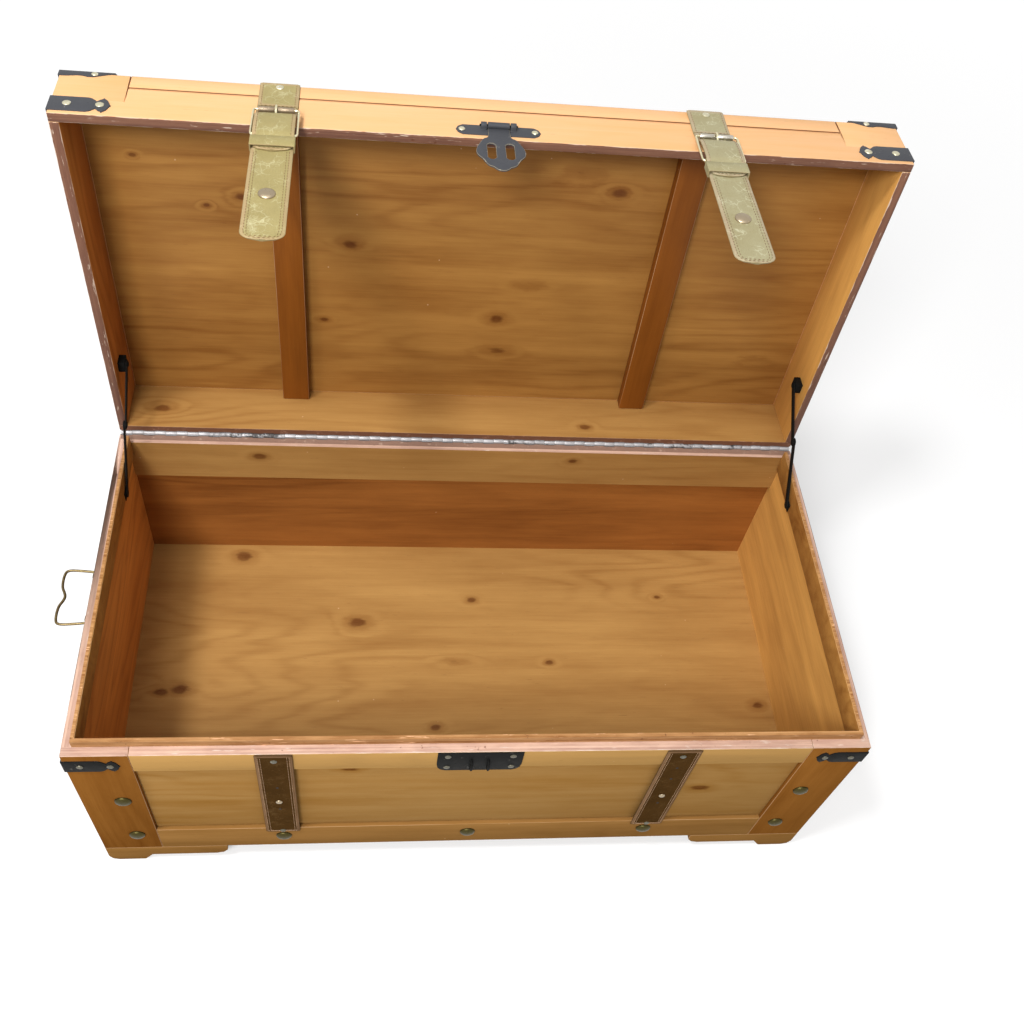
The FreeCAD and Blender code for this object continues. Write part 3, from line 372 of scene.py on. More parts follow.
def pine(name, early, late, knots=(), contrast=0.5, gloss=0.14, lined=False):
    """Stained pine: patches of drifting growth lines, streaks, fibres, pores, ragged knots and rubbed edges.

    A lined wall shows one sheet across its boards, with the grain along the wall."""
    p = Paint(name)
    grain = p.attribute("strip" if lined else "grain", 1)
    board = p.attribute("sheet" if lined else "board", 2)
    worn = p.attribute("worn", 2)
    elsewhere = p.add("ShaderNodeCombineXYZ", None, {0: board * 31.7, 1: board * 17.3, 2: board * 5.1})
    near = p.cells(p.vector("ADD", p.scaled(grain, (2.6, 6.5, 6.5)), elsewhere), randomness=0.9) * 24.0
    for along, across, up, radius in knots:
        stretch = (0.55 / radius, 0.9 / radius, 0.9 / radius)
        near = p.number("MINIMUM", near, p.reach(grain, (along, across, up), stretch))
    ragged = p.fibres(grain, 45, 130, board, 3, 0.65)
    near = near + (ragged - 0.5) * 1.5
    halo = 1 - p.smooth(near, 0.6, 3.6)
    drift = p.fibres(grain, 1.2, 7.5, board * 40 + 3, 2.5, 0.45)
    wobble = p.fibres(grain, 7, 90, board * 9)
    lines = p.wave((drift * 22 + halo * 1.1 + wobble * 0.8) * FULL_TURN) ** 2.6
    patches = p.smooth(p.fibres(grain, 1.6, 5, board * 17 + 6, 2), 0.42, 0.66)
    late_wood = lines * (patches * 0.8 + 0.2)
    fibre = p.fibres(grain, 16, 700, board * 5, 3, 0.6)
    streak = p.fibres(grain, 1.8, 48, board * 13, 4, 0.62)
    blotch = p.fibres(grain, 3.5, 12, board * 21, 5, 0.62)
    pores = p.smooth(p.fibres(grain, 60, 900, board, 2), 0.66, 0.78)
    share = p.clear(late_wood * 0.5 * contrast + (streak - 0.5) * 1.7 * contrast + (fibre - 0.5) * 0.4
                    + (blotch - 0.47) * 2.4 * contrast + 0.3)
    ring = (1 - p.smooth(near, 0.8, 2.4)) * 0.5
    core = (1 - p.smooth(near, 0.45, 1.05)) * (ragged * 0.9 + 0.3)
    glow = p.smooth(near, 1.2, 1.7) * (1 - p.smooth(near, 1.8, 3.0)) * p.smooth(streak, 0.45, 0.62)
    rubbed = p.smooth(worn + (blotch - 0.5) * 1.6 + (fibre - 0.5) * 0.8, 0.45, 0.9) * worn
    # Painted shade: the rounded faces in the lid's grooves are coloured dark, as shade in the recess.
    grime = p.smooth(p.attribute("grime", 2), 0.05, 0.5) * 0.95
    specks = 1 - p.smooth(p.cells(p.scaled(grain, (26, 26, 26))), 0.018, 0.03)
    wood = p.coats(early, (share, late), (ring, late), (pores * 0.3, "knot"), (p.clear(core), "knot"),
                   (glow * 0.35, early), (rubbed * 0.6, "bare"), (grime, "grime"), (specks * 0.6, "bare"))
    height = fibre * 0.35 + late_wood * 0.2 - core * 0.3 - pores * 0.6 + ragged * 0.08
    rough = 0.48 + (fibre - 0.5) * 0.18 + rubbed * 0.12
    return p.done(wood, rough, p.shine(height, 0.35, 0.0006), gloss=gloss)


def edge_wood(name, early, dark, chipped):
    """A sawn board edge whose stain is worn off in long chips."""
    p = Paint(name)
    grain = p.attribute("strip", 1)
    board = p.attribute("board", 2)
    layers = p.fibres(grain, 2.5, 480, board * 7, 3, 0.6)
    # Grime in the grain, darkening the sawn edge in streaks.
    grime = p.fibres(grain, 26, 120, board * 3 + 1, 4, 0.65)
    chips = p.fibres(grain, 45, 380, board * 11, 3, 0.6)
    share = p.clear((layers - 0.5) * 2.2 + (grime - 0.5) * 1.4 + 0.42)
    chip = p.smooth(chips + p.attribute("worn", 2) * 0.22, 0.62, 0.7)
    dents = p.smooth(p.fibres(grain, 160, 160, board, 2), 0.68, 0.74)
    wood = p.coats(early, (share, dark), (chip * 0.85, chipped), (dents * 0.6, "knot"))
    normal = p.shine(layers * 0.5 - chip * 0.4 - dents * 0.5, 0.5, 0.0008)
    return p.done(wood, 0.55 + (grime - 0.5) * 0.2, normal, gloss=0.2)


def metal(name, base, worn_colour, roughness, shine=1.0, wear=0.5, grain=400, pitted=0.4, gloss=0.5):
    """Aged metal: tarnish in clouds, fine pits and bright rubbed places."""
    p = Paint(name)
    place = p.place()
    cloud = p.grain_noise(place, 1.0, 5, 0.65, 90)
    fine = p.grain_noise(place, 4.0, 3, 0.6, grain)
    pits = p.smooth(p.grain_noise(place, 7.0, 2, 0.5, grain * 1.7), 0.62, 0.72)
    rubbed = p.smooth(cloud + (fine - 0.5) * 0.5, 0.66 - 0.2 * wear, 0.82 - 0.2 * wear)
    skin = p.coats(base, (rubbed, worn_colour), (pits * pitted, shade(base, 0.25)))
    normal = p.shine(fine * 0.5 - pits * 0.7, 0.3, 0.0004)
    return p.done(skin, roughness + (cloud - 0.5) * 0.3 + pits * 0.2, normal, shine, gloss)


def plated(name, bright, bare):
    """Thin plating with whole stretches of the hinge painted near-black, as painted dark reflections of the
    knuckles.
    """
    p = Paint(name)
    place = p.place()
    stretch = p.fibres(place, 5, 9, 3.0, 4, 0.7)
    fine = p.grain_noise(place, 4.0, 3, 0.6, 260)
    # Painted reflection: near-black stretches stand for knuckles that reflect darker.
    painted_dark_reflection = p.smooth(stretch + (fine - 0.5) * 0.2, 0.56, 0.62)
    dull = p.smooth(p.fibres(place, 40, 40, 8.0), 0.45, 0.7)
    skin = p.coats(bright, (dull * 0.5, shade(bright, 0.45)), (painted_dark_reflection * 0.85, bare))
    return p.done(skin, 0.45 + painted_dark_reflection * 0.25 + dull * 0.15, p.shine(fine, 0.2, 0.0003), 0.4)


def hide(name, base, dark, pale, fray, crackle=105, gloss=0.25):
    """Old leather: a net of fine cracks, creases, frayed bands along the edges and rubbed high spots."""
    p = Paint(name)
    skin = p.attribute("hide", 1)
    edge = p.attribute("edge", 2)
    bend = p.grain_noise(skin, 2.0, 3, 0.6, 60)
    swirl = p.add("ShaderNodeTexNoise", None, {"Vector": skin, "Scale": 70.0}, 1)
    shifted = p.vector("ADD", skin, p.scaled(swirl, (0.012, 0.012, 0.012)))
    big = p.cells(shifted, "DISTANCE_TO_EDGE", crackle)
    small = p.cells(shifted, "DISTANCE_TO_EDGE", crackle * 3.1)
    cracks = (1 - p.smooth(big, 0.0, 0.045)) * p.smooth(bend, 0.45, 0.6)
    web = 1 - p.smooth(small, 0.0, 0.09)
    pebble = p.cells(skin, scale=900)
    cloud = p.grain_noise(skin, 5.0, 4, 0.6, 24)
    rubbed = p.smooth(bend + (pebble - 0.4) * 0.2, 0.6, 0.78)
    band = p.smooth(edge + (cloud - 0.5) * 0.22 + (bend - 0.5) * 0.12, 0.76, 0.9)
    brim = p.smooth(edge, 0.965, 0.99)
    leather = p.coats(base, (p.clear((cloud - 0.38) * 1.2), dark), (web * 0.25, dark), (cracks * 0.45, pale),
                      (rubbed * 0.35, pale), (band * (0.25 + cloud * 0.45), fray), (brim * 0.6, dark))
    normal = p.shine(pebble * 0.12 - web * 0.25 + cracks * 0.3 + bend * 0.5, 0.5, 0.0007)
    return p.done(leather, 0.5 + (cloud - 0.5) * 0.3 - rubbed * 0.1, normal, gloss=gloss)


def cotton(name, base):
    """Waxed thread with a twist."""
    p = Paint(name)
    twist = p.grain_noise(p.place(), 1.0, 2, 0.5, 1500)
    soiled = p.grain_noise(p.place(), 2.0, 3, 0.6, 90)
    return p.done(p.mix(p.clear(soiled * 0.9), base, shade(base, 0.45)), 0.75, p.shine(twist, 0.5, 0.0003))


def shadow_hole(name, base):
    """Painted shade: a dark round that stands for the shaded inside of a punched hole."""
    p = Paint(name)
    grit = p.grain_noise(p.place(), 1.0, 2, 0.5, 700)
    return p.done(p.mix(grit, base, shade(base, 0.4)), 0.9)


MAKERS = {
    "inside": lambda: pine("stained_pine", "inside", "inside_late", INSIDE_KNOTS, 0.6),
    "floor": lambda: pine("floor_pine", "floor", "floor_late", INSIDE_KNOTS, 0.5),
    "side": lambda: pine("side_pine", "e0aa5c", "9c6c36", lined=True),
    "left_side": lambda: pine("left_side_pine", "e0964a", "a05e28", contrast=0.6, lined=True),
    "lid_right": lambda: pine("lid_right_pine", "d8a256", "a8743a"),
    "left_wall": lambda: pine("left_wall_pine", "c07a3a", "8a4a18", contrast=0.6, lined=True),
    "wall": lambda: pine("wall_pine", "wall", "wall_late", contrast=0.6, lined=True),
    "back": lambda: pine("back_pine", "a46830", "74421a", INSIDE_KNOTS, 0.7, lined=True),
    "batten": lambda: pine("batten_pine", "8a4f17", "5a2e0a"),
    "panel": lambda: pine("panel_pine", "panel", "panel_late", PANEL_KNOTS, 0.5, 0.0),
    "top_rail": lambda: pine("top_rail_pine", "ba9054", "panel", gloss=0.0),
    "stile": lambda: pine("stile_pine", "stile", "stile_late", contrast=0.6, gloss=0.0),
    "rail": lambda: pine("rail_pine", "956d3c", "6e4a20", gloss=0.0),
    "lid": lambda: pine("lid_pine", "lid", "lid_late", contrast=0.3),
    "rim": lambda: edge_wood("rim_pine", "rim", "rim_dark", "d2c0b2"),
    "lid_rim": lambda: edge_wood("lid_rim_pine", "lid_rim", "5c3c30", "c9b39f"),
    "lip": lambda: edge_wood("lip_pine", "lip", "inside_late", "e8b58a"),
    "iron": lambda: metal("black_iron", "iron", "scuffed", 0.6, 0.0, 0.1, gloss=0.06),
    # Painted light: the black steel made paler grey for the lit ironwork of the lid.
    "grey_iron": lambda: metal("grey_iron", "grey_iron", "8a8580", 0.5, 0.1, 0.15, gloss=0.15),
    "bare_steel": lambda: metal("bare_steel", "8f8570", "d8ccb0", 0.45, 0.6, 0.6),
    "nail": lambda: metal("nail_iron", "nail", "928d7a", 0.42, 0.6, 0.4),
    "lid_nail": lambda: metal("lid_nail_iron", "c4bea2", "f0ead6", 0.35, 0.7, 0.6),
    "stud": lambda: metal("stud_brass", "stud", "766c40", 0.42, 0.85, 0.3),
    "snap": lambda: metal("snap_brass", "snap", "cdb98c", 0.34, 0.95, 0.5),
    "buckle": lambda: metal("buckle_brass", "buckle", "efe6c8", 0.3, 0.95, 0.6),
    "left_roller": lambda: metal("left_roller_steel", "8b7a64", "b9a78c", 0.45, 0.6, 0.5),
    "right_roller": lambda: metal("right_roller_steel", "roller", "f0ece4", 0.3, 0.95, 0.6),
    # Painted reflection: the near-black colour stands for knuckles that reflect darker.
    "hinge": lambda: plated("hinge_steel", "hinge", "2a2622"),
    "lid_leaf": lambda: metal("lid_hinge_leaf", "6e4630", "97705a", 0.5, 0.2, 0.4, 250, 0.3),
    "base_leaf": lambda: metal("base_hinge_leaf", "8e7060", "b39886", 0.5, 0.2, 0.4, 250, 0.3),
    "bail": lambda: metal("bail_brass", "bail", "a39668", 0.4, 0.9, 0.5),
    "left_khaki": lambda: hide("left_khaki_leather", "left_khaki", "khaki_dark", "d0caa2", "ae9070"),
    "right_khaki": lambda: hide("right_khaki_leather", "right_khaki", "khaki_dark", "d2d0b2", "a8917a"),
    "brown": lambda: hide("brown_leather", "brown", "brown_dark", "6e5434", "9c7a5c", 140, 0.0),
    "thread": lambda: cotton("thread", "thread"),
    "left_thread": lambda: cotton("left_thread", "8f7148"),
    "right_thread": lambda: cotton("right_thread", "85694c"),
    # Painted shade for the punched holes of the straps.
    "hole": lambda: shadow_hole("punched_hole", "1d140a"),
}


# Meshes.

WELD = 1e-6
FLAT_DEGREES = 0.4
BOARD_DEGREES, METAL_DEGREES, LEATHER_DEGREES, ROUND_DEGREES = 32, 40, 50, 60
RIGHT_SHEET, LEFT_SHEET, OTHER_SHEET = 0.31, 0.62, 0.17


def placed(name, data):
    """A new object in the scene."""
    made = bpy.data.objects.new(name, data)
    bpy.context.scene.collection.objects.link(made)
    return made


def mesh_of(name, work):
    """Worked geometry as a mesh."""
    mesh = bpy.data.meshes.new(name)
    work.to_mesh(mesh)
    work.free()
    return mesh


def settle(name, work, finishes, node, smooth_to=METAL_DEGREES, replaces=True):
    """Turns geometry, drawn with the lid shut, into a piece that rides on a node's body."""
    body = body_of(node)
    bmesh.ops.transform(work, matrix=shut_to_rest(body), verts=work.verts)
    bmesh.ops.recalc_face_normals(work, faces=work.faces)
    mesh = mesh_of(name, work)
    mesh.polygons.foreach_set("use_smooth", [True] * len(mesh.polygons))
    mesh.set_sharp_from_angle(angle=math.radians(smooth_to))
    for each in finishes:
        mesh.materials.append(finish(each))
    piece = placed(name, mesh)
    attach(piece, body)
    if replaces:
        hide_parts(node)


def islands(work):
    """The loose solids of worked geometry, each as a list of its vertices."""
    left = set(work.verts)
    found = []
    while left:
        seen = {next(v for v in work.verts if v in left)}
        edge = list(seen)
        while edge:
            others = {e.other_vert(v) for v in edge for e in v.link_edges} - seen
            seen |= others
            edge = list(others)
        left -= seen
        found.append(sorted(seen, key=lambda v: v.index))
    return found


def node_work(node):
    """A node's own solids, welded and with the lid shut."""
    work = bmesh.new()
    work.from_mesh(frame["nodes"][node].data)
    back = shut_to_rest(body_of(node)).inverted()
    bmesh.ops.transform(work, matrix=back, verts=work.verts)
    bmesh.ops.remove_doubles(work, verts=work.verts, dist=WELD)
    bmesh.ops.dissolve_limit(work, angle_limit=math.radians(FLAT_DEGREES), verts=work.verts, edges=work.edges)
    work.verts.index_update()
    return work


def rounded_edges(work, edges, size, **rules):
    """Rounds edges and gives the faces that this makes."""
    return bmesh.ops.bevel(work, geom=edges, offset=size, segments=2, profile=0.5, affect="EDGES",
                           **rules)["faces"]


def ease_edges(work, size, sharper_than=25, kept=lambda co: False, shade_painted=lambda co: False):
    """Rounds the sharp edges that aren't kept and marks what is worn and where painted shade goes."""
    sharp = [e for e in work.edges
             if len(e.link_faces) == 2 and e.calc_face_angle(0) > math.radians(sharper_than)
             and not (kept(e.verts[0].co) and kept(e.verts[1].co))]
    rounding = set(rounded_edges(work, sharp, size, clamp_overlap=True))
    worn = work.verts.layers.float.new("worn")
    grime = work.verts.layers.float.new("grime")
    for v in work.verts:
        within = all(f in rounding for f in v.link_faces)
        # The rounded faces in the lid's grooves get painted shade instead of wear.
        v[grime] = float(within and shade_painted(v.co))
        v[worn] = float(within and not v[grime])


def lay_grain(work, name):
    """Writes each board's own grain space, with the grain along its longest side, and its rim's."""
    grain = work.verts.layers.float_vector.new("grain")
    strip = work.verts.layers.float_vector.new("strip")
    board = work.verts.layers.float.new("board")
    sheet = work.verts.layers.float.new("sheet")
    for index, verts in enumerate(islands(work)):
        low, high = box_of([v.co for v in verts])
        sides = high - low
        longest = max(range(3), key=lambda i: sides[i])
        order = [longest] + [i for i in range(3) if i != longest]
        wall = RIGHT_SHEET if low.x > 0 else LEFT_SHEET if high.x < 0 and sides.x < sides.y else OTHER_SHEET
        seed = zlib.crc32(("%s %d" % (name, index)).encode()) % 997 / 997
        for v in verts:
            v[grain] = Vector([v.co[i] for i in order])
            v[strip] = v.co.xyz if sides.x > sides.y else v.co.yxz
            v[board] = seed
            v[sheet] = wall


NEAR = 0.2 * MM
JOINT_REACH = 2 * MM
GROOVE_REACH = 1.4 * MM
GROOVE_DEPTH = 1.7 * MM
RIM_REACH = 1.3 * MM
MIDDLE_OF_BASE, MIDDLE_OF_LID = 0.2, 0.35
HAMMER_NOISE = 420


def faces_inside(face, middle):
    """True for a face that looks into the chest or the shut lid."""
    centre = face.calc_center_median()
    within = abs(centre.x) < HALF_X - WALL + JOINT_REACH and abs(centre.y) < HALF_Y - WALL + JOINT_REACH
    return within and (centre - middle).dot(face.normal) < 0


def in_inner_plane(co):
    """True on the flush inner faces of the walls, where no joint shows."""
    return abs(abs(co.x) - HALF_X + WALL) < NEAR or abs(abs(co.y) - HALF_Y + WALL) < NEAR


def at_hidden_seam(co):
    """True on the joint that doesn't show, between the lid's lower rail and the boards above it."""
    return abs(co.z - HIDDEN_SEAM) < NEAR


def in_groove(co):
    """True in the grooves that frame the lid's upper rail, where shade is painted."""
    level = abs(co.z - GROOVE) < GROOVE_REACH and abs(co.x) < GROOVE_END + GROOVE_REACH
    upright = abs(abs(co.x) - GROOVE_END) < GROOVE_REACH and co.z > HIDDEN_SEAM + JOINT_REACH
    return co.y < GROOVE_DEPTH - HALF_Y and (level or upright)


def boards(node, outside, rim="rim", inside="inside"):
    """A node's boards with eased edges: stained inside, bare on the rim, finished outside."""
    work = node_work(node)
    in_base = body_of(node) == "base"
    # The lid's grooves get painted shade.
    rules = {"kept": in_inner_plane} if in_base else {"kept": at_hidden_seam, "shade_painted": in_groove}
    ease_edges(work, sizes().board_ease, **rules)
    lay_grain(work, node)
    middle = Vector((0, 0, MIDDLE_OF_BASE if in_base else MIDDLE_OF_LID))
    work.normal_update()
    for face in work.faces:
        on_rim = abs(face.calc_center_median().z - RIM) < RIM_REACH and abs(face.normal.z) > 0.4
        face.material_index = 2 if on_rim else 1 if faces_inside(face, middle) else 0
    settle("wood_" + node, work, [outside, inside, rim], node, BOARD_DEGREES)


def worked_metal(name, node, finish_name, ease=None):
    """A node's metal with its edges eased."""
    work = node_work(node)
    ease_edges(work, ease or sizes().metal_ease, 35)
    settle(name, work, [finish_name], node)


def front(x, z, out):
    """A point in front of the chest's face."""
    return Vector((x, -HALF_Y - out, z))


def rounded(points, times=2, closed=True):
    """Points with their corners cut again and again, which stays inside their hull."""
    for _ in range(times):
        pairs = around(points) if closed else zip(points, points[1:])
        cut = [q for a, b in pairs for q in (a.lerp(b, 0.25), a.lerp(b, 0.75))]
        points = cut if closed else [points[0]] + cut + [points[-1]]
    return points


def flat(points):
    """Pairs of numbers as vectors."""
    return [Vector(p) for p in points]


def around(points):
    """Each point with the next, and the last with the first."""
    return list(zip(points, points[1:] + points[:1]))


def ring_of(work, points):
    """A closed ring of edges through the points."""
    return [work.edges.new(pair) for pair in around([work.verts.new(p) for p in points])]


def plate(work, outlines, to_space=front, lift=0, thick=SHEET, rim_index=0):
    """A sheet cut to its first outline with the others as holes, its outer edges eased."""
    rings = []
    for outline in outlines:
        rings += ring_of(work, [to_space(u, w, lift) for u, w in outline])
    filled = bmesh.ops.triangle_fill(work, edges=rings, use_beauty=True)
    faces = [f for f in filled["geom"] if isinstance(f, bmesh.types.BMFace)]
    grown = bmesh.ops.extrude_face_region(work, geom=faces)
    raised = [v for v in grown["geom"] if isinstance(v, bmesh.types.BMVert)]
    bmesh.ops.translate(work, vec=to_space(0, 0, thick) - to_space(0, 0, 0), verts=raised)
    fresh = set(raised)
    edges = [e for e in grown["geom"] if isinstance(e, bmesh.types.BMEdge)
             and any(len(set(f.verts) & fresh) < len(f.verts) for f in e.link_faces)]
    for face in rounded_edges(work, edges, sizes().metal_ease):
        face.material_index = rim_index


def join(work, *rings):
    """Joins each ring of vertices to the next with faces."""
    for low, high in zip(rings, rings[1:]):
        for (a, b), (c, d) in zip(around(low), around(high)):
            work.faces.new((a, b, d, c))


def join_capped(work, rings):
    """Joins rings and closes both ends."""
    join(work, *rings)
    work.faces.new(rings[0][::-1])
    work.faces.new(rings[-1])


def turns(sides):
    """The angles of a circle's points."""
    return [2 * math.pi * k / sides for k in range(sides)]


def tube(work, path, radius, sides=12, closed=False, flatten=1.0, upright=Vector((0, 0, 1))):
    """A round bar swept along a path."""
    rings = []
    count = len(path)
    for i, point in enumerate(path):
        ahead = path[(i + 1) % count] if closed or i + 1 < count else point
        behind = path[i - 1] if closed or i else point
        forward = (ahead - behind).normalized()
        side = forward.cross(upright).normalized()
        over = side.cross(forward)
        size = radius(i / (count - 1)) if callable(radius) else radius
        spots = [point + side * (size * math.cos(turn)) + over * (size * flatten * math.sin(turn))
                 for turn in turns(sides)]
        rings.append([work.verts.new(spot) for spot in spots])
    if closed:
        join(work, *rings, rings[0])
    else:
        join_capped(work, rings)


def turned_head(work, centre, outward, profile, sides, roughness=0.0, seed=0):
    """A round head turned from (radius, height) pairs about an outward direction, slightly hammered."""
    to_space = outward.to_track_quat("Z", "Y").to_matrix()
    rings = []
    for level, (radius, height) in enumerate(profile):
        ring = []
        for angle in turns(sides):
            spot = Vector((radius * math.cos(angle), radius * math.sin(angle), height))
            dent = noise.noise(spot * HAMMER_NOISE + Vector((seed * 7.1, seed * 3.3, level))) * roughness
            ring.append(work.verts.new(centre + to_space @ (spot * (1 + dent))))
        rings.append(ring)
    join_capped(work, rings)


def dome_profile(radius, height, steps=6):
    """A domed head with a short upright edge."""
    edge = 0.16 * height
    curve = [(radius * math.cos(a), edge + (height - edge) * math.sin(a))
             for a in (math.pi / 2 * k / steps for k in range(steps))]
    return [(radius * 0.99, 0.0)] + curve + [(radius * 0.1, height)]


def head_places(node):
    """Centre, outward direction, radius and height of each round head in a node."""
    work = node_work(node)
    found = []
    for verts in islands(work):
        low, high = box_of([v.co for v in verts])
        sides = high - low
        thin = min(range(3), key=lambda i: sides[i])
        centre = (low + high) / 2
        outward = Vector((0, 0, 0))
        outward[thin] = math.copysign(1, centre[thin])
        found.append((centre - outward * sides[thin] / 2, outward, max(sides) / 2, sides[thin]))
    work.free()
    return found


def heads(name, node, finish_name, roughness, wider=0.98):
    """Every round head of a node, as domed and hammered heads."""
    work = bmesh.new()
    for seed, (centre, outward, radius, height) in enumerate(head_places(node)):
        profile = dome_profile(radius * wider, height)
        turned_head(work, centre, outward, profile, sizes().facets, roughness, seed)
    settle(name, work, [finish_name], node, ROUND_DEGREES)


# Wood.

CARCASS = {
    "front_stiles": ("stile", "wall"), "front_top_rail": ("top_rail", "wall"),
    "front_bottom_rail": ("rail", "wall"), "front_panel": ("panel", "wall"),
    "back_frame": ("stile", "back"), "back_panel": ("panel", "back"),
    "left_side_frame": ("stile", "left_side"), "left_side_panel": ("panel", "left_side"),
    "right_side_frame": ("stile", "side"), "right_side_panel": ("panel", "side"),
    "floor_board": ("floor", "floor"), "corner_feet": ("rail", "wall"), "back_inner_rail": ("floor", "floor"),
}
LID_BOARDS = {
    "lid_lower_rail": "inside", "lid_front_stiles": "inside", "lid_front_board": "inside",
    "lid_upper_rail": "inside", "lid_back_board": "floor", "lid_left_end": "left_wall",
    "lid_right_end": "lid_right", "lid_top": "inside",
}


def build_carcass():
    for node, (outside, inside) in CARCASS.items():
        boards(node, outside, inside=inside)
    boards("dust_lip", "lip", "lip")


def build_lid():
    for node, inside in LID_BOARDS.items():
        boards(node, "lid", "lid_rim", inside)
    boards("lid_battens", "batten", inside="batten")


# Ironwork.

STRAP_REACH = 60 * MM
CORNER_HALF = 12.5 * MM
EDGE_REACH = 56 * MM
EDGE_DROP = 8 * MM


def strap_leg():
    """A corner strap's leg: a broad plate, a scooped neck and a round end with bumps above and below."""
    shape = [(0.0, 1.0), (0.62, 1.0), (0.68, 0.9), (0.73, 0.68), (0.765, 0.5), (0.785, 0.6),
             (0.805, 0.74), (0.83, 0.83), (0.85, 0.87), (0.857, 0.97), (0.87, 1.0), (0.883, 0.97),
             (0.89, 0.87), (0.915, 0.8), (0.94, 0.64), (0.96, 0.42), (0.972, 0.2), (1.0, 0.0)]
    upper = [(share * STRAP_REACH, high * CORNER_HALF) for share, high in shape]
    return upper + [(u, -w) for u, w in reversed(upper[:-1])]


def beside(y, z, out):
    """A point beside the chest's right end; y runs to the front."""
    return Vector((HALF_X + out, -y, z))


def corner_legs(work, outline, middle):
    """The front and side legs of one strap, at the front right corner, folded round it."""
    plate(work, [[(HALF_X + SHEET - u, middle + w) for u, w in outline]])
    plate(work, [[(HALF_Y - u, middle + w) for u, w in outline]], beside)


def four_corners(work, draw):
    """Draws at the front right corner and mirrors to all four."""
    for flip_x in (1, -1):
        for flip_y in (1, -1):
            before = set(work.verts)
            draw()
            fresh = [v for v in work.verts if v not in before]
            bmesh.ops.scale(work, vec=(flip_x, flip_y, 1), verts=fresh)


def build_corner_straps():
    # The lid's corner straps take the painted-lit grey copy of the black steel.
    for name, node, finish_name in (("iron_base_corners", "base_corner_straps", "iron"),
                                    ("iron_lid_corners", "lid_corner_straps", "grey_iron")):
        work = bmesh.new()
        middle = shut_box(node)[0].z + CORNER_HALF
        four_corners(work, lambda: corner_legs(work, strap_leg(), middle))
        if body_of(node) == "lid":
            four_corners(work, lambda: folded_edge(work))
        settle(name, work, [finish_name], node)


def folded_edge(work):
    """The narrow strap over the lid's top edge, at the front right corner."""
    reach, drop = EDGE_REACH, EDGE_DROP
    shape = [(0.0, 0.96), (0.1, 1.0), (0.34, 0.74), (0.45, 0.8), (0.52, 0.98), (0.62, 0.96), (0.75, 0.6),
             (0.88, 0.22), (1.0, 0.02)]
    top = TOP + SHEET
    leg = [(0.0, top)] + [(reach * share, TOP - drop * deep) for share, deep in shape] + [(reach, top)]
    corner_legs(work, leg, 0)
    over = [(0.0, 0.0), (reach, 0.0), (reach, drop * 0.05), (reach * 0.6, drop), (drop, drop),
            (drop, reach * 0.6), (drop * 0.05, reach), (0.0, reach)]
    plate(work, [[(HALF_X - u, HALF_Y - w) for u, w in over]], lambda u, w, out: Vector((u, -w, out)), TOP)


def build_nails():
    heads("nails_base", "base_nails", "nail", 0.12, 1.08)
    heads("nails_lid", "lid_nails", "lid_nail", 0.12, 1.25)


def build_studs():
    heads("studs_front", "dome_studs", "stud", 0.04, 1.12)
    heads("snap_posts_base", "snap_posts", "snap", 0.04)
    for side in SIDES:
        heads(side + "_snap_dome", side + "_snap_cap", "snap", 0.03)


# Piano hinge.

SCREW_PITCH = 75 * MM
BARREL = 3.0 * MM
LEAF_WIDE = 11 * MM
LEAF_THICK = 0.9 * MM
LEAF_GAP = 0.1 * MM
PLAY = 0.25 * MM
PIN_EASE = 0.2 * MM
SCREW_HEAD = [(2.0 * MM, 0), (1.9 * MM, 0.07 * MM), (0.6 * MM, 0.09 * MM)]


def hinge_half(node, first, low, high):
    """One leaf of the hinge with every second knuckle curled from it."""
    body = body_of(node)
    reach = shut_box(node)[1].x
    count = 2 * round(reach / sizes().knuckle) + 1
    step = 2 * reach / count
    work = bmesh.new()
    for index in range(first, count, 2):
        start = -reach + index * step + PLAY / 2
        end = start + step - PLAY
        path = [Vector((x, HALF_Y, RIM)) for x in (start, start + PLAY, end - PLAY, end)]
        tube(work, path, lambda share: BARREL * (0.97 if share in (0, 1) else 1.0), 14)
        block(work, (start, HALF_Y - BARREL * 1.5, low), (end, HALF_Y - BARREL * 0.3, high))
    knuckles = set(work.faces)
    block(work, (-reach, HALF_Y - LEAF_WIDE, low), (reach, HALF_Y - BARREL * 1.2, high))
    screws = int(2 * reach / SCREW_PITCH)
    up, face_z = (1, high) if body == "base" else (-1, low)
    for index in range(screws):
        spot = Vector((-reach + (index + 0.5) * 2 * reach / screws, HALF_Y - LEAF_WIDE * 0.62, face_z))
        turned_head(work, spot, Vector((0, 0, up)), SCREW_HEAD, 12)
    for face in work.faces:
        face.material_index = 0 if face in knuckles else 1
    settle("hinge_%s_leaf" % body, work, ["hinge", body + "_leaf"], node)


def block(work, low, high):
    """A plain bar between two corners."""
    made = bmesh.ops.create_cube(work, size=1)["verts"]
    low, high = Vector(low), Vector(high)
    bmesh.ops.scale(work, vec=high - low, verts=made)
    bmesh.ops.translate(work, vec=(low + high) / 2, verts=made)


def build_hinge():
    hinge_half("base_hinge_leaf", 0, RIM - LEAF_THICK, RIM - LEAF_GAP)
    hinge_half("lid_hinge_leaf", 1, RIM + LEAF_GAP, RIM + LEAF_THICK)
    worked_metal("hinge_rod", "hinge_pin", "hinge", PIN_EASE)


# Hasp.

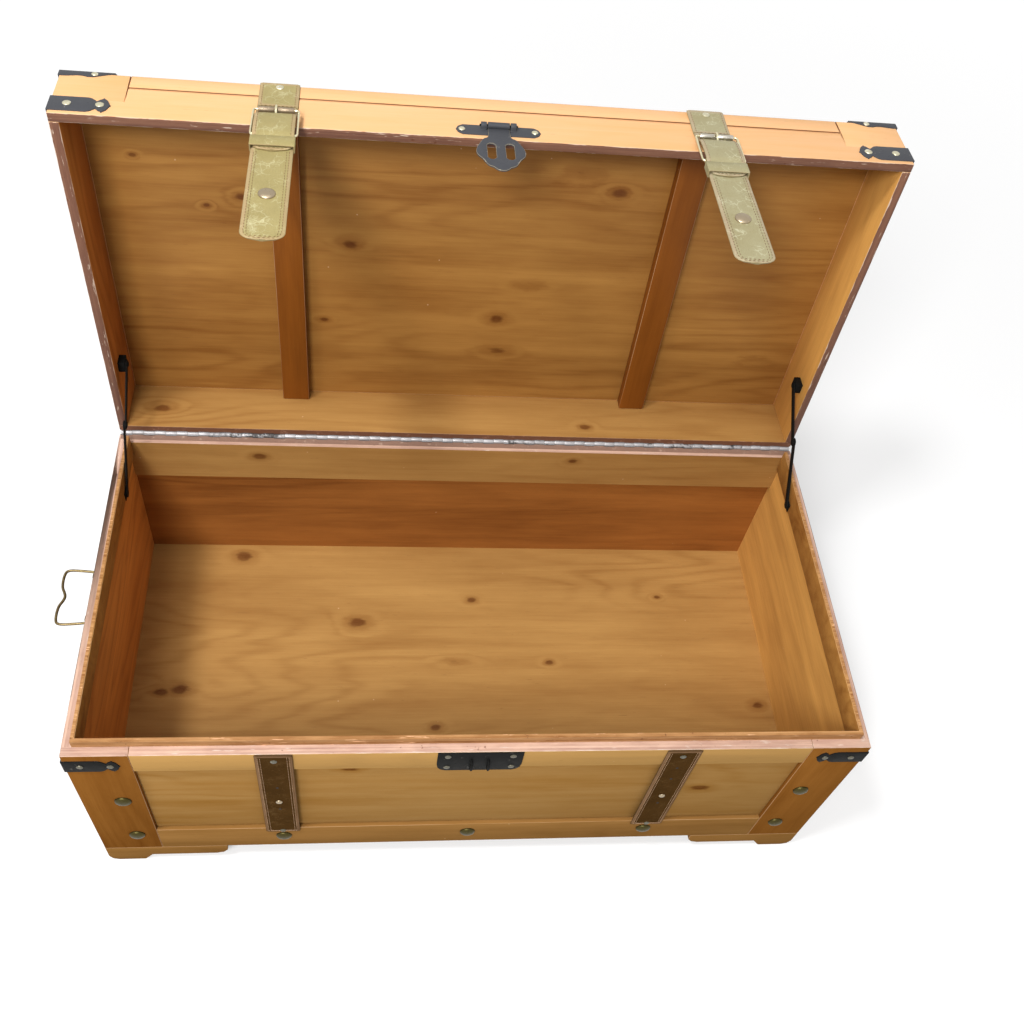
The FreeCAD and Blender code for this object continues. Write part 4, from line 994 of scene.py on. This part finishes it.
HASP_X = HASP_AXIS.x
HASP_SHUT = SWING.inverted() @ HASP_AXIS
SLOT_REACH = 9.5 * MM
SLOT_HALF = 4.5 * MM
SLOT_TOP = HASP_SHUT.z - 30 * MM
SLOT_LENGTH = 28 * MM
FLAP_HALF = [(11.5, 0), (11.5, -17), (13.2, -20), (17, -21.5), (20.5, -29), (24.5, -38), (25.5, -45),
             (24.8, -50), (22.5, -54), (19.3, -57.6), (17, -63), (14.7, -68), (11.5, -70.5), (8.7, -71.5),
             (7, -74), (4.4, -76.5), (2, -77.3)]
FLAP_THICK = 1.5 * MM
FLAP_OUT = 0.5 * MM
HASP_BARREL = 11.4 * MM
STAPLE_WIRE = 1.5 * MM
STAPLE_RISE = 7.7 * MM
STAPLE_SPAN = 8 * MM
STAPLE_FOOT = 0.2 * MM
PLATE_HALF = 48 * MM
PLATE_TALL = 45 * MM
PLATE_TOP = RIM - 0.4 * MM


def mirrored_outline(half):
    """An outline from its right half, about the hasp's middle."""
    points = [(HASP_X + u, w) for u, w in half]
    return points + [(HASP_X - u, w) for u, w in reversed(half) if u > 0]


def slot_outline(middle, top, bottom):
    """A long slot with clipped ends."""
    clip = SLOT_HALF * 0.6
    end = [(-SLOT_HALF, clip), (clip - SLOT_HALF, 0), (SLOT_HALF - clip, 0), (SLOT_HALF, clip)]
    return [(middle + u, top - w) for u, w in end] + [(middle + u, bottom + w) for u, w in reversed(end)]


def build_hasp():
    """The bar with its ears and pin, and the slotted flap that hangs from it."""
    # The lid's hasp plate and flap take the painted-lit grey copy of the black steel.
    worked_metal("hasp_back_plate", "hasp_plate", "grey_iron")
    worked_metal("hasp_pivot_pin", "hasp_pin", "iron", PIN_EASE)
    work = bmesh.new()
    half = [(u * MM, HASP_SHUT.z + w * MM) for u, w in FLAP_HALF]
    outline = [tuple(p) for p in rounded(flat(mirrored_outline(half)), 1)]
    slots = [slot_outline(HASP_X + side * SLOT_REACH, SLOT_TOP, SLOT_TOP - SLOT_LENGTH) for side in (-1, 1)]
    plate(work, [outline] + slots, lift=SHEET + FLAP_OUT, thick=FLAP_THICK, rim_index=1)
    tube(work, [HASP_SHUT + Vector((share * HASP_BARREL, 0, 0)) for share in (-1, -0.97, 0.97, 1)],
         lambda share: (3.1 if share in (0, 1) else 3.45) * MM, 20)
    settle("hasp_slotted_flap", work, ["grey_iron", "bare_steel"], "hasp_flap")


def build_staple_plate():
    """The plate under the rim and its two wire staples."""
    work = bmesh.new()
    half = [(PLATE_HALF, PLATE_TOP)] + [(PLATE_HALF * wide, RIM - PLATE_TALL * deep) for wide, deep in (
        (1, 0.66), (0.97, 0.84), (0.9, 0.95), (0.78, 1))]
    plate(work, [mirrored_outline(half)])
    slot_middle = SLOT_TOP - SLOT_LENGTH / 2
    for side in (-1, 1):
        corners = [front(HASP_X + side * SLOT_REACH, slot_middle + end * STAPLE_SPAN, out) for end, out in (
            (-1, STAPLE_FOOT), (-1, STAPLE_RISE), (1, STAPLE_RISE), (1, STAPLE_FOOT))]
        tube(work, rounded(corners, 3, closed=False), STAPLE_WIRE, upright=Vector((1, 0, 0)))
    settle("staple_plate_iron", work, ["iron"], "staple_plate")


# Leather straps.

STRAP_HALF = 20.5 * MM
LEATHER = 2.2 * MM
STRAP_X = {side: sum(corner.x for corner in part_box(side + "_base_strap")) / 2 for side in SIDES}
BRIM = 1.3 * MM
FRAYED_REACH = 20 * MM
HEADING_REACH = 1.5 * MM
STRAP_STEP = 2.4 * MM
SKIN_GAP = 4 * MM
CREASE_NOISE = 55
TIP_LEAST, TIP_POWER = 0.12, 2.4
SEAM_STEPS = 60
THREAD_RADIUS = 0.42 * MM
THREAD_LOW, THREAD_HIGH = 0.05 * MM, 0.32 * MM
HOLE_RADIUS = 1.7 * MM
HOLE_LIFT = 0.06 * MM
HOLE_PROFILE = [(HOLE_RADIUS, 0), (HOLE_RADIUS, 0.05 * MM), (HOLE_RADIUS / 2, 0.06 * MM)]


def marks_of(line, distance):
    """The length of the way to each point of a line."""
    return list(accumulate(map(distance, line, line[1:]), initial=0.0))


def stretch_at(marks, along):
    """The stretch of a line that holds a length, and the share of it that is passed there."""
    index = min(max(i for i, mark in enumerate(marks) if mark <= along), len(marks) - 2)
    return index, (along - marks[index]) / max(marks[index + 1] - marks[index], 1e-9)


class Strap:
    """A flat strap along a line of (height, out) points, in front of the chest's face."""

    def __init__(self, middle, line, tip=0.0):
        self.middle = middle
        self.tip = tip
        self.line = rounded(flat(line), 3, closed=False)
        self.marks = marks_of(self.line, lambda a, b: (b - a).length)
        self.length = self.marks[-1]

    def heading(self, along):
        """The direction, eased over the joins of the line."""
        near = max(0.0, along - HEADING_REACH)
        far = along + HEADING_REACH
        behind = [p for p, mark in zip(self.line, self.marks) if mark <= near][-1]
        ahead = [p for p, mark in zip(self.line, self.marks) if mark >= far] or self.line[-1:]
        return (ahead[0] - behind).normalized()

    def half(self, along):
        """Half the width, which falls away at a rounded tip."""
        left = self.length - along
        if self.tip and left < self.tip:
            share = 1 - left / self.tip
            return STRAP_HALF * max(TIP_LEAST, (1 - share ** TIP_POWER) ** (1 / TIP_POWER))
        return STRAP_HALF

    def at(self, along, across, lift):
        """A point above the strap's middle layer, crosswise in metres."""
        held = max(0.0, min(self.length - 1e-9, along))
        index, share = stretch_at(self.marks, held)
        height, out = self.line[index].lerp(self.line[index + 1], share)
        way = self.heading(held)
        side = Vector((way.y, -way.x))
        if side.y < 0 and abs(way.x) > 0.3:
            side = -side
        crease = noise.noise(Vector((across * CREASE_NOISE, along * CREASE_NOISE, self.middle * 9)))
        lift += crease * sizes().crease_depth
        return front(self.middle + across, height + side.x * lift, out + side.y * lift)

    def build(self, work, skin, edge):
        """The strap's own solid, with rounded edges."""
        count = max(2, round(self.length / STRAP_STEP))
        shares = [k / 6 - 1 for k in range(13)]
        rings = []
        for i in range(count + 1):
            along = self.length * i / count
            half = self.half(along)
            ring = []
            for top, share in [(1, share) for share in shares] + [(-1, share) for share in shares[::-1]]:
                across = half * math.copysign(abs(share) ** 0.8, share)
                brim = max(0.0, abs(across) - (half - BRIM)) / BRIM
                rise = LEATHER / 2 * math.sqrt(max(0.05, 1 - brim ** 2))
                vert = work.verts.new(self.at(along, across, top * rise))
                vert[skin] = Vector((across, along + self.middle, SKIN_GAP * top))
                to_side = abs(across) / half if half > 0.6 * STRAP_HALF else 1.0
                vert[edge] = max(to_side, 1 - min(along, self.length - along) / FRAYED_REACH)
                ring.append(vert)
            rings.append(ring)
        join_capped(work, rings)

    def seam(self, start, end, inset):
        """A line of (along, across) points down one side, round the end and up the other side."""
        down = [start + (end - start) * i / SEAM_STEPS for i in range(SEAM_STEPS + 1)]
        right = [(along, self.half(along) - inset) for along in down if self.half(along) > inset * 1.5]
        return right + [(along, -across) for along, across in reversed(right)]


def stitch(work, strap, line, size, gap):
    """Short stitches along a line of (along, across) points."""
    marks = marks_of(line, math.dist)
    place = 0.0
    while place + size < marks[-1]:
        path = []
        for mark, lift in ((place, THREAD_LOW), (place + size / 2, THREAD_HIGH), (place + size, THREAD_LOW)):
            index, share = stretch_at(marks, mark)
            along, across = (a + (b - a) * share for a, b in zip(line[index], line[index + 1]))
            path.append(strap.at(along, across, LEATHER / 2 + lift))
        tube(work, path, lambda share: (0.2 + 0.75 * math.sin(math.pi * share)) * THREAD_RADIUS, 6,
             upright=Vector((0.3, -1, 0.2)))
        place += size + gap


def leather_piece(name, strap, finish_name, node, extra=None):
    """A node's strap, with what else is made of its leather."""
    work = bmesh.new()
    skin = work.verts.layers.float_vector.new("hide")
    edge = work.verts.layers.float.new("edge")
    strap.build(work, skin, edge)
    if extra:
        extra(work, skin, edge)
    settle(name, work, [finish_name], node, LEATHER_DEGREES)


def thread_piece(name, strap, lines, finish_name, node):
    """The stitching of a node's strap."""
    work = bmesh.new()
    for line in lines:
        stitch(work, strap, line, sizes().stitch_length, sizes().stitch_gap)
    settle(name, work, [finish_name], node, ROUND_DEGREES, replaces=False)


def hole_piece(name, strap, places, node):
    """The punched holes of a node's strap: dark rounds of painted shade with a raised burr."""
    work = bmesh.new()
    for along in places:
        centre = strap.at(along, 0, LEATHER / 2 + HOLE_LIFT)
        outward = (strap.at(along, 0, 2 * MM) - strap.at(along, 0, 1 * MM)).normalized()
        turned_head(work, centre, outward, HOLE_PROFILE, 14)
    settle(name, work, ["hole"], node, replaces=False)


BASE_STRAP_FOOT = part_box("left_base_strap")[0].z
BASE_HOLES = {"left": (0.296, 0.225, 0.163), "right": (0.265, 0.234, 0.161)}


def build_base_straps():
    """The dark straps nailed to the front, with their stitches and punched holes."""
    top = RIM - 0.2 * MM
    inset = sizes().stitch_inset
    for side, middle in STRAP_X.items():
        node = side + "_base_strap"
        strap = Strap(middle, [(height, LEATHER / 2)
                               for height in (top, (top + BASE_STRAP_FOOT) / 2, BASE_STRAP_FOOT)])
        leather_piece(side + "_base_leather", strap, "brown", node)
        rows = [strap.seam(3 * MM, strap.length - 4 * MM, inset + extra * MM) for extra in (0, 2.6)]
        thread_piece(side + "_base_stitches", strap, rows, "thread", node)
        hole_piece(side + "_base_holes", strap, [top - height for height in BASE_HOLES[side]], node)


BEND_Z = RIM + 32 * MM
BAR_Z = RIM - 28.5 * MM
BAR_OUT = 8 * MM
ROLLER_Z = RIM + 17 * MM
TAIL_OUT = 5 * MM + LEATHER / 2
ON_TAIL = 8.4 * MM
END_LINE = [(BEND_Z, 1.5 * MM), (RIM + 25 * MM, 2.5 * MM), (ROLLER_Z + 1 * MM, 3.1 * MM),
            (ROLLER_Z - 4 * MM, 4.6 * MM), (ROLLER_Z - 9 * MM, 9.8 * MM), (BAR_Z + 18 * MM, 12.0 * MM),
            (BAR_Z + 4 * MM, 12.1 * MM), (BAR_Z - 1.5 * MM, 12.1 * MM),
            (BAR_Z - 7 * MM, 9.4 * MM), (BAR_Z - 13 * MM, ON_TAIL), (RIM - 56 * MM, ON_TAIL)]
TAIL_LINE = [(BAR_Z - 5 * MM, 10.2 * MM), (BAR_Z, 10.1 * MM), (BAR_Z + 2.3 * MM, 8.8 * MM),
             (BAR_Z + 2.3 * MM, 7.2 * MM), (BAR_Z, TAIL_OUT), (BAR_Z - 8 * MM, TAIL_OUT),
             (RIM - 110 * MM, TAIL_OUT), (RIM - 150 * MM, TAIL_OUT), (RIM - 194 * MM, TAIL_OUT)]
END_TIP, TAIL_TIP = 12 * MM, 13 * MM
KEEPER_WALL = 1.2 * MM
KEEPER_SAG = 0.3 * MM
SAG_NOISE = 60
KEEPER_LOW, KEEPER_HIGH = RIM - 52 * MM, RIM - 35 * MM
KEEPER_HALF = STRAP_HALF + 0.1 * MM
KEEPER_NEAR, KEEPER_FAR = 5 * MM, 5 * MM + 2 * LEATHER + 1.4 * MM
KEEPER_EASE = 0.5 * MM
KEEPER_SHRINK = 0.35 * MM


def keeper(work, skin, edge, middle):
    """The leather loop that holds the strap's end down."""
    bands = []
    for grow in (0.0, KEEPER_WALL):
        half, near, far = KEEPER_HALF + grow, KEEPER_NEAR - grow, KEEPER_FAR + grow
        points = rounded(subdivided(flat([(-half, near), (-half, far), (half, far), (half, near)]), 8), 2)
        for height, shrink in ((KEEPER_LOW, KEEPER_SHRINK), (KEEPER_LOW + KEEPER_EASE, 0),
                               (KEEPER_HIGH - KEEPER_EASE, 0), (KEEPER_HIGH, KEEPER_SHRINK)):
            ring = []
            for p in points:
                sag = noise.noise(Vector((p.x * SAG_NOISE, height * SAG_NOISE, middle))) * KEEPER_SAG
                out = p.y
                if p.y > KEEPER_FAR * 0.8:
                    out += sag - (shrink if grow else 0)
                vert = work.verts.new(front(middle + p.x, height, out))
                vert[skin] = Vector((p.x, height, 0.02))
                vert[edge] = 1.0 if shrink else 0.6
                ring.append(vert)
            bands.append(ring)
    join(work, *bands[:4])
    join(work, *bands[4:])
    join(work, bands[0], bands[4])
    join(work, bands[3], bands[7])


def subdivided(points, parts):
    """A closed outline with each side cut into equal parts."""
    return [a.lerp(b, i / parts) for a, b in around(points) for i in range(parts)]


def build_lid_straps():
    """The khaki straps: the part on the lid, the holed end and the tail with its keeper."""
    inset = sizes().stitch_inset
    for side, middle in STRAP_X.items():
        heights = (TOP, (TOP + BEND_Z) / 2, BEND_Z + 1.8 * MM)
        held = Strap(middle, [(height, LEATHER / 2) for height in heights])
        holed = Strap(middle, END_LINE, END_TIP)
        tail = Strap(middle, TAIL_LINE, TAIL_TIP)
        loop = lambda work, skin, edge: keeper(work, skin, edge, middle)
        for leather, threads, node, strap, extra, rows in (
                ("lid_leather", "lid_stitches", "lid_strap", held, None, [(3, 0, 0)]),
                ("holed_end", "holed_end_stitches", "strap_end", holed, None, [(4, 3, 0)]),
                ("tail_leather", "tail_stitches", "strap_tail", tail, loop, [(38, 2.5, 0), (38, 4.8, 2.6)])):
            node = "%s_%s" % (side, node)
            leather_piece("%s_%s" % (side, leather), strap, side + "_khaki", node, extra)
            lines = [strap.seam(start * MM, strap.length - end * MM, inset + further * MM)
                     for start, end, further in rows]
            thread_piece("%s_%s" % (side, threads), strap, lines, side + "_thread", node)


BUCKLE_REACH = 22.5 * MM
BUCKLE_WIRE = 1.35 * MM
ON_ROLLER = BAR_OUT + 3.4 * MM
TONGUE = [(BAR_Z, BAR_OUT + 0.2 * MM), (BAR_Z + 3 * MM, BAR_OUT + 0.4 * MM),
          (ROLLER_Z - 12 * MM, BAR_OUT + 0.4 * MM), (ROLLER_Z - 7 * MM, BAR_OUT + 1.2 * MM),
          (ROLLER_Z - 3.4 * MM, ON_ROLLER), (ROLLER_Z, ON_ROLLER + 0.6 * MM), (ROLLER_Z + 3 * MM, ON_ROLLER),
          (ROLLER_Z + 4 * MM, ON_ROLLER - 0.6 * MM)]
ROLLER_HALF = 18 * MM
ROLLER_OUTER, ROLLER_INNER = 2.95 * MM, 1.5 * MM
ROLLER_SIDES = 22


def build_buckles():
    """The wire frames with their prongs, and the rollers that turn on them."""
    corners = flat([(-BUCKLE_REACH, ROLLER_Z), (BUCKLE_REACH, ROLLER_Z),
                    (BUCKLE_REACH, BAR_Z), (-BUCKLE_REACH, BAR_Z)])
    loop = rounded(subdivided(corners, 7), 3)
    prong = rounded(flat(TONGUE), 3, closed=False)
    for side, middle in STRAP_X.items():
        work = bmesh.new()
        tube(work, [front(middle + p.x, p.y, BAR_OUT) for p in loop], BUCKLE_WIRE, 14, closed=True,
             upright=Vector((0, 1, 0)))
        tube(work, [front(middle, p.x, p.y) for p in prong], lambda share: (1.5 - 0.5 * share) * MM,
             flatten=0.62, upright=Vector((0, -1, 0)))
        settle(side + "_buckle_wire", work, ["buckle"], side + "_buckle", LEATHER_DEGREES)
        build_roller(side, middle)


def build_roller(side, middle):
    """A rolled tube with a waist where the prong lies."""
    work = bmesh.new()
    shape = [(-1.0, 0.93), (-0.98, 1.0), (-0.12, 1.0), (-0.1, 0.9)]
    shape += [(-share, size) for share, size in reversed(shape)]
    profile = [(share * ROLLER_HALF, ROLLER_OUTER * size) for share, size in shape]
    profile += [(ROLLER_HALF, ROLLER_INNER), (-ROLLER_HALF, ROLLER_INNER)]
    rings = []
    for turn in turns(ROLLER_SIDES):
        up, out = math.sin(turn), math.cos(turn)
        spots = [front(middle + x, ROLLER_Z + r * up, BAR_OUT + r * out) for x, r in profile]
        rings.append([work.verts.new(spot) for spot in spots])
    join(work, *rings, rings[0])
    settle(side + "_roller_tube", work, [side + "_roller"], side + "_roller")


# Stays and handles.

def build_stays():
    for side in SIDES:
        for part in ("lower", "upper"):
            worked_metal("%s_%s_stay" % (side, part), "%s_%s_arm" % (side, part), "iron")
    for part in ("base", "lid"):
        worked_metal("stay_%s_plates" % part, "stay_%s_brackets" % part, "iron")


BAIL_WIRE = 1.6 * MM
BAIL_BULGE = 0.05
BAIL_OUT = 8 * MM
BAIL_REACH, BAIL_HALF, BAIL_DIP = 37 * MM, 36 * MM, 6 * MM
BAIL_EYE = 26.5 * MM


def build_handles():
    """Wire bails that swing in round posts."""
    half = [(0, BAIL_EYE), (0, BAIL_HALF - 3 * MM), (-1 * MM, BAIL_HALF),
            (-BAIL_REACH * 0.45, BAIL_HALF + 1.5 * MM), (-BAIL_REACH + 4 * MM, BAIL_HALF + 2.5 * MM),
            (-BAIL_REACH, BAIL_HALF - 3 * MM),
            (-BAIL_REACH, BAIL_HALF * 0.4), (-BAIL_REACH + BAIL_DIP * 0.8, BAIL_HALF * 0.14)]
    line = [(u, -w) for u, w in half] + [(-BAIL_REACH + BAIL_DIP, 0)] + half[::-1]
    smooth = rounded(flat(line), 3, closed=False)
    height = JOINTS["left_bail_swing"]["pos_m"][2]
    out = HALF_X + BAIL_OUT
    paths = {"left": ([Vector((p.x - out, p.y, height)) for p in smooth], Vector((0, 0, 1))),
             "right": ([Vector((out, p.y, height + p.x)) for p in smooth], Vector((1, 0, 0)))}
    for side, (path, upright) in paths.items():
        work = bmesh.new()
        tube(work, path, lambda share: BAIL_WIRE * (1 + BAIL_BULGE * math.sin(math.pi * share) ** 8), 14,
             upright=upright)
        settle(side + "_bail_wire", work, ["bail"], side + "_bail", ROUND_DEGREES)
        worked_metal(side + "_handle_roses", side + "_handle_posts", "bail")


# Stage.

CAMERA_SPOT = (-0.1307, -0.7414, 1.4421)
CAMERA_YAW = 12.37
CAMERA_PITCH = 53.08
CAMERA_ROLL = 10.82
FOCAL_PIXELS = 1109.9
PICTURE_PIXELS = 1024
CENTRE_PIXELS = (512.5, 522.8)
SENSOR = 36.0
FLOOR_HALF = 12
GLOW_NEAR, GLOW_FAR = 0.9, 3.0
SKY, BACKDROP = 0.38, 1.0
WHITE = (1, 1, 1, 1)


# Each lamp's place, the spot that it points at, its side and its watts.

LAMPS = {"key": ((-1.6, -0.75, 4.3), (0, 0, 0.2), 0.6, 92),
         "ceiling": ((-0.3, -0.2, 3.2), (0, 0, 0.2), 2.6, 18),
         "flash": ((-0.95, -1.9, 2.75), (0, 0.05, 0.45), 0.85, 82)}


def build_camera():
    """A hand-held view from above the front left corner."""
    yaw, pitch, roll = (math.radians(a) for a in (CAMERA_YAW, CAMERA_PITCH, CAMERA_ROLL))
    ahead = Vector((math.sin(yaw) * math.cos(pitch), math.cos(yaw) * math.cos(pitch), -math.sin(pitch)))
    right = Vector((math.cos(yaw), -math.sin(yaw), 0))
    up = right.cross(ahead)
    across = right * math.cos(roll) + up * math.sin(roll)
    upward = up * math.cos(roll) - right * math.sin(roll)
    data = bpy.data.cameras.new("camera")
    data.sensor_width = SENSOR
    data.lens = FOCAL_PIXELS / PICTURE_PIXELS * SENSOR
    data.shift_x = (PICTURE_PIXELS / 2 - CENTRE_PIXELS[0]) / PICTURE_PIXELS
    data.shift_y = (CENTRE_PIXELS[1] - PICTURE_PIXELS / 2) / PICTURE_PIXELS
    camera = placed("camera", data)
    turned = Matrix((across, upward, -ahead)).transposed().to_4x4()
    camera.matrix_world = Matrix.Translation(CAMERA_SPOT) @ turned
    bpy.context.scene.camera = camera


def lamp(name, spot, aim, size, watts):
    """A square soft lamp that points at a place."""
    data = bpy.data.lights.new(name, "AREA")
    data.shape = "SQUARE"
    data.size = size
    data.energy = watts
    light = placed(name, data)
    light.location = spot
    light.rotation_mode = "QUATERNION"
    light.rotation_quaternion = (Vector(aim) - Vector(spot)).to_track_quat("-Z", "Y")


def build_floor():
    """A pale floor that looks white and keeps the chest's shadow."""
    work = bmesh.new()
    bmesh.ops.create_grid(work, x_segments=1, y_segments=1, size=FLOOR_HALF)
    floor = placed("floor", mesh_of("floor", work))
    p = Paint("floor_paint")
    plain = p.add("ShaderNodeBsdfDiffuse", None, {"Color": (0.62, 0.62, 0.62, 1)})
    bright = p.add("ShaderNodeBsdfDiffuse", None, {"Color": (0.55, 0.55, 0.55, 1)})
    far = p.smooth(p.reach(p.place(), (0, 0, 0), (1, 1, 1)), GLOW_NEAR, GLOW_FAR)
    glow = p.add("ShaderNodeEmission", None, {"Color": p.mix(far, (0.66,) * 3, (1.0,) * 3), "Strength": 0.62})
    seen = p.add("ShaderNodeAddShader", None, {0: bright, 1: glow})
    p.show(p.add("ShaderNodeMixShader", None, {0: seen_directly(p), 1: plain, 2: seen}))
    floor.data.materials.append(p.owner)


def seen_directly(p):
    """1 for rays from the camera and for those seen in polished metal."""
    rays = p.add("ShaderNodeLightPath")
    glossy = Signal(p, rays.socket.node.outputs["Is Glossy Ray"])
    through = Signal(p, rays.socket.node.outputs["Is Transmission Ray"])
    return p.clear(rays + glossy + through)


def build_world():
    """Even light all round and a white background."""
    p = Paint("studio", bpy.data.worlds)
    bpy.context.scene.world = p.owner
    soft = p.add("ShaderNodeBackground", None, {"Color": WHITE, "Strength": SKY})
    white = p.add("ShaderNodeBackground", None, {"Color": WHITE, "Strength": BACKDROP})
    surface = p.add("ShaderNodeMixShader", None, {0: seen_directly(p), 1: soft, 2: white})
    p.show(surface, "ShaderNodeOutputWorld")


def build_stage():
    bpy.context.scene.view_settings.view_transform = "Standard"
    build_camera()
    build_world()
    build_floor()
    for name, settings in LAMPS.items():
        lamp(name, *settings)


# The add-on.

class ChestStep:
    """What every step of the sidebar does when it is pressed."""
    bl_options = {"REGISTER", "UNDO"}

    def execute(self, context):
        self.build()
        return {"FINISHED"}


class CHEST_OT_carcass(ChestStep, bpy.types.Operator):
    """Dress the carcass boards, feet and inner strips"""
    bl_idname = "chest.carcass"
    bl_label = "Carcass"
    build = staticmethod(build_carcass)


class CHEST_OT_lid(ChestStep, bpy.types.Operator):
    """Dress the lid's boards and battens"""
    bl_idname = "chest.lid"
    bl_label = "Lid"
    build = staticmethod(build_lid)


class CHEST_OT_corner_straps(ChestStep, bpy.types.Operator):
    """Cut and fold the black corner straps"""
    bl_idname = "chest.corner_straps"
    bl_label = "Corner Straps"
    build = staticmethod(build_corner_straps)


class CHEST_OT_nails(ChestStep, bpy.types.Operator):
    """Forge the nail heads"""
    bl_idname = "chest.nails"
    bl_label = "Nails"
    build = staticmethod(build_nails)


class CHEST_OT_studs(ChestStep, bpy.types.Operator):
    """Set the domed studs and snaps"""
    bl_idname = "chest.studs"
    bl_label = "Studs"
    build = staticmethod(build_studs)


class CHEST_OT_hinge(ChestStep, bpy.types.Operator):
    """Curl the piano hinge's knuckles from its leaves"""
    bl_idname = "chest.hinge"
    bl_label = "Piano Hinge"
    build = staticmethod(build_hinge)


class CHEST_OT_hasp(ChestStep, bpy.types.Operator):
    """Make the hasp plate, pin and flap"""
    bl_idname = "chest.hasp"
    bl_label = "Hasp"
    build = staticmethod(build_hasp)


class CHEST_OT_staple_plate(ChestStep, bpy.types.Operator):
    """Make the staple plate and its wires"""
    bl_idname = "chest.staple_plate"
    bl_label = "Staple Plate"
    build = staticmethod(build_staple_plate)


class CHEST_OT_base_straps(ChestStep, bpy.types.Operator):
    """Sew the dark straps on the front"""
    bl_idname = "chest.base_straps"
    bl_label = "Base Straps"
    build = staticmethod(build_base_straps)


class CHEST_OT_lid_straps(ChestStep, bpy.types.Operator):
    """Sew the khaki straps of the lid"""
    bl_idname = "chest.lid_straps"
    bl_label = "Lid Straps"
    build = staticmethod(build_lid_straps)


class CHEST_OT_buckles(ChestStep, bpy.types.Operator):
    """Bend the buckles and roll their rollers"""
    bl_idname = "chest.buckles"
    bl_label = "Buckles"
    build = staticmethod(build_buckles)


class CHEST_OT_stays(ChestStep, bpy.types.Operator):
    """Dress the folding stays"""
    bl_idname = "chest.stays"
    bl_label = "Stays"
    build = staticmethod(build_stays)


class CHEST_OT_handles(ChestStep, bpy.types.Operator):
    """Bend the bails and dress their posts"""
    bl_idname = "chest.handles"
    bl_label = "Handles"
    build = staticmethod(build_handles)


class CHEST_OT_stage(ChestStep, bpy.types.Operator):
    """Set the camera, lamps, floor and background"""
    bl_idname = "chest.stage"
    bl_label = "Stage"
    build = staticmethod(build_stage)


STEPS = (CHEST_OT_carcass, CHEST_OT_lid, CHEST_OT_corner_straps, CHEST_OT_nails, CHEST_OT_studs,
         CHEST_OT_hinge, CHEST_OT_hasp, CHEST_OT_staple_plate, CHEST_OT_base_straps, CHEST_OT_lid_straps,
         CHEST_OT_buckles, CHEST_OT_stays, CHEST_OT_handles, CHEST_OT_stage)


class CHEST_PT_sidebar(bpy.types.Panel):
    """Every step of the chest, with the colours and sizes that they use"""
    bl_idname = "CHEST_PT_sidebar"
    bl_label = "Pine Chest"
    bl_space_type = "VIEW_3D"
    bl_region_type = "UI"
    bl_category = "Chest"

    def draw(self, context):
        for step in STEPS:
            self.layout.operator(step.bl_idname)
        for group in (context.scene.chest_sizes, context.scene.chest_stains):
            column = self.layout.column(align=True)
            for name in group.__annotations__:
                column.prop(group, name)


CLASSES = (ChestStains, ChestSizes) + STEPS + (CHEST_PT_sidebar,)


def register():
    for cls in CLASSES:
        bpy.utils.register_class(cls)
    bpy.types.Scene.chest_stains = PointerProperty(type=ChestStains)
    bpy.types.Scene.chest_sizes = PointerProperty(type=ChestSizes)


def unregister():
    del bpy.types.Scene.chest_sizes
    del bpy.types.Scene.chest_stains
    for cls in reversed(CLASSES):
        bpy.utils.unregister_class(cls)


def main():
    """Run every step in order."""
    register()
    for step in STEPS:
        getattr(bpy.ops.chest, step.bl_idname.split(".")[1])()


if __name__ == "__main__":
    main()
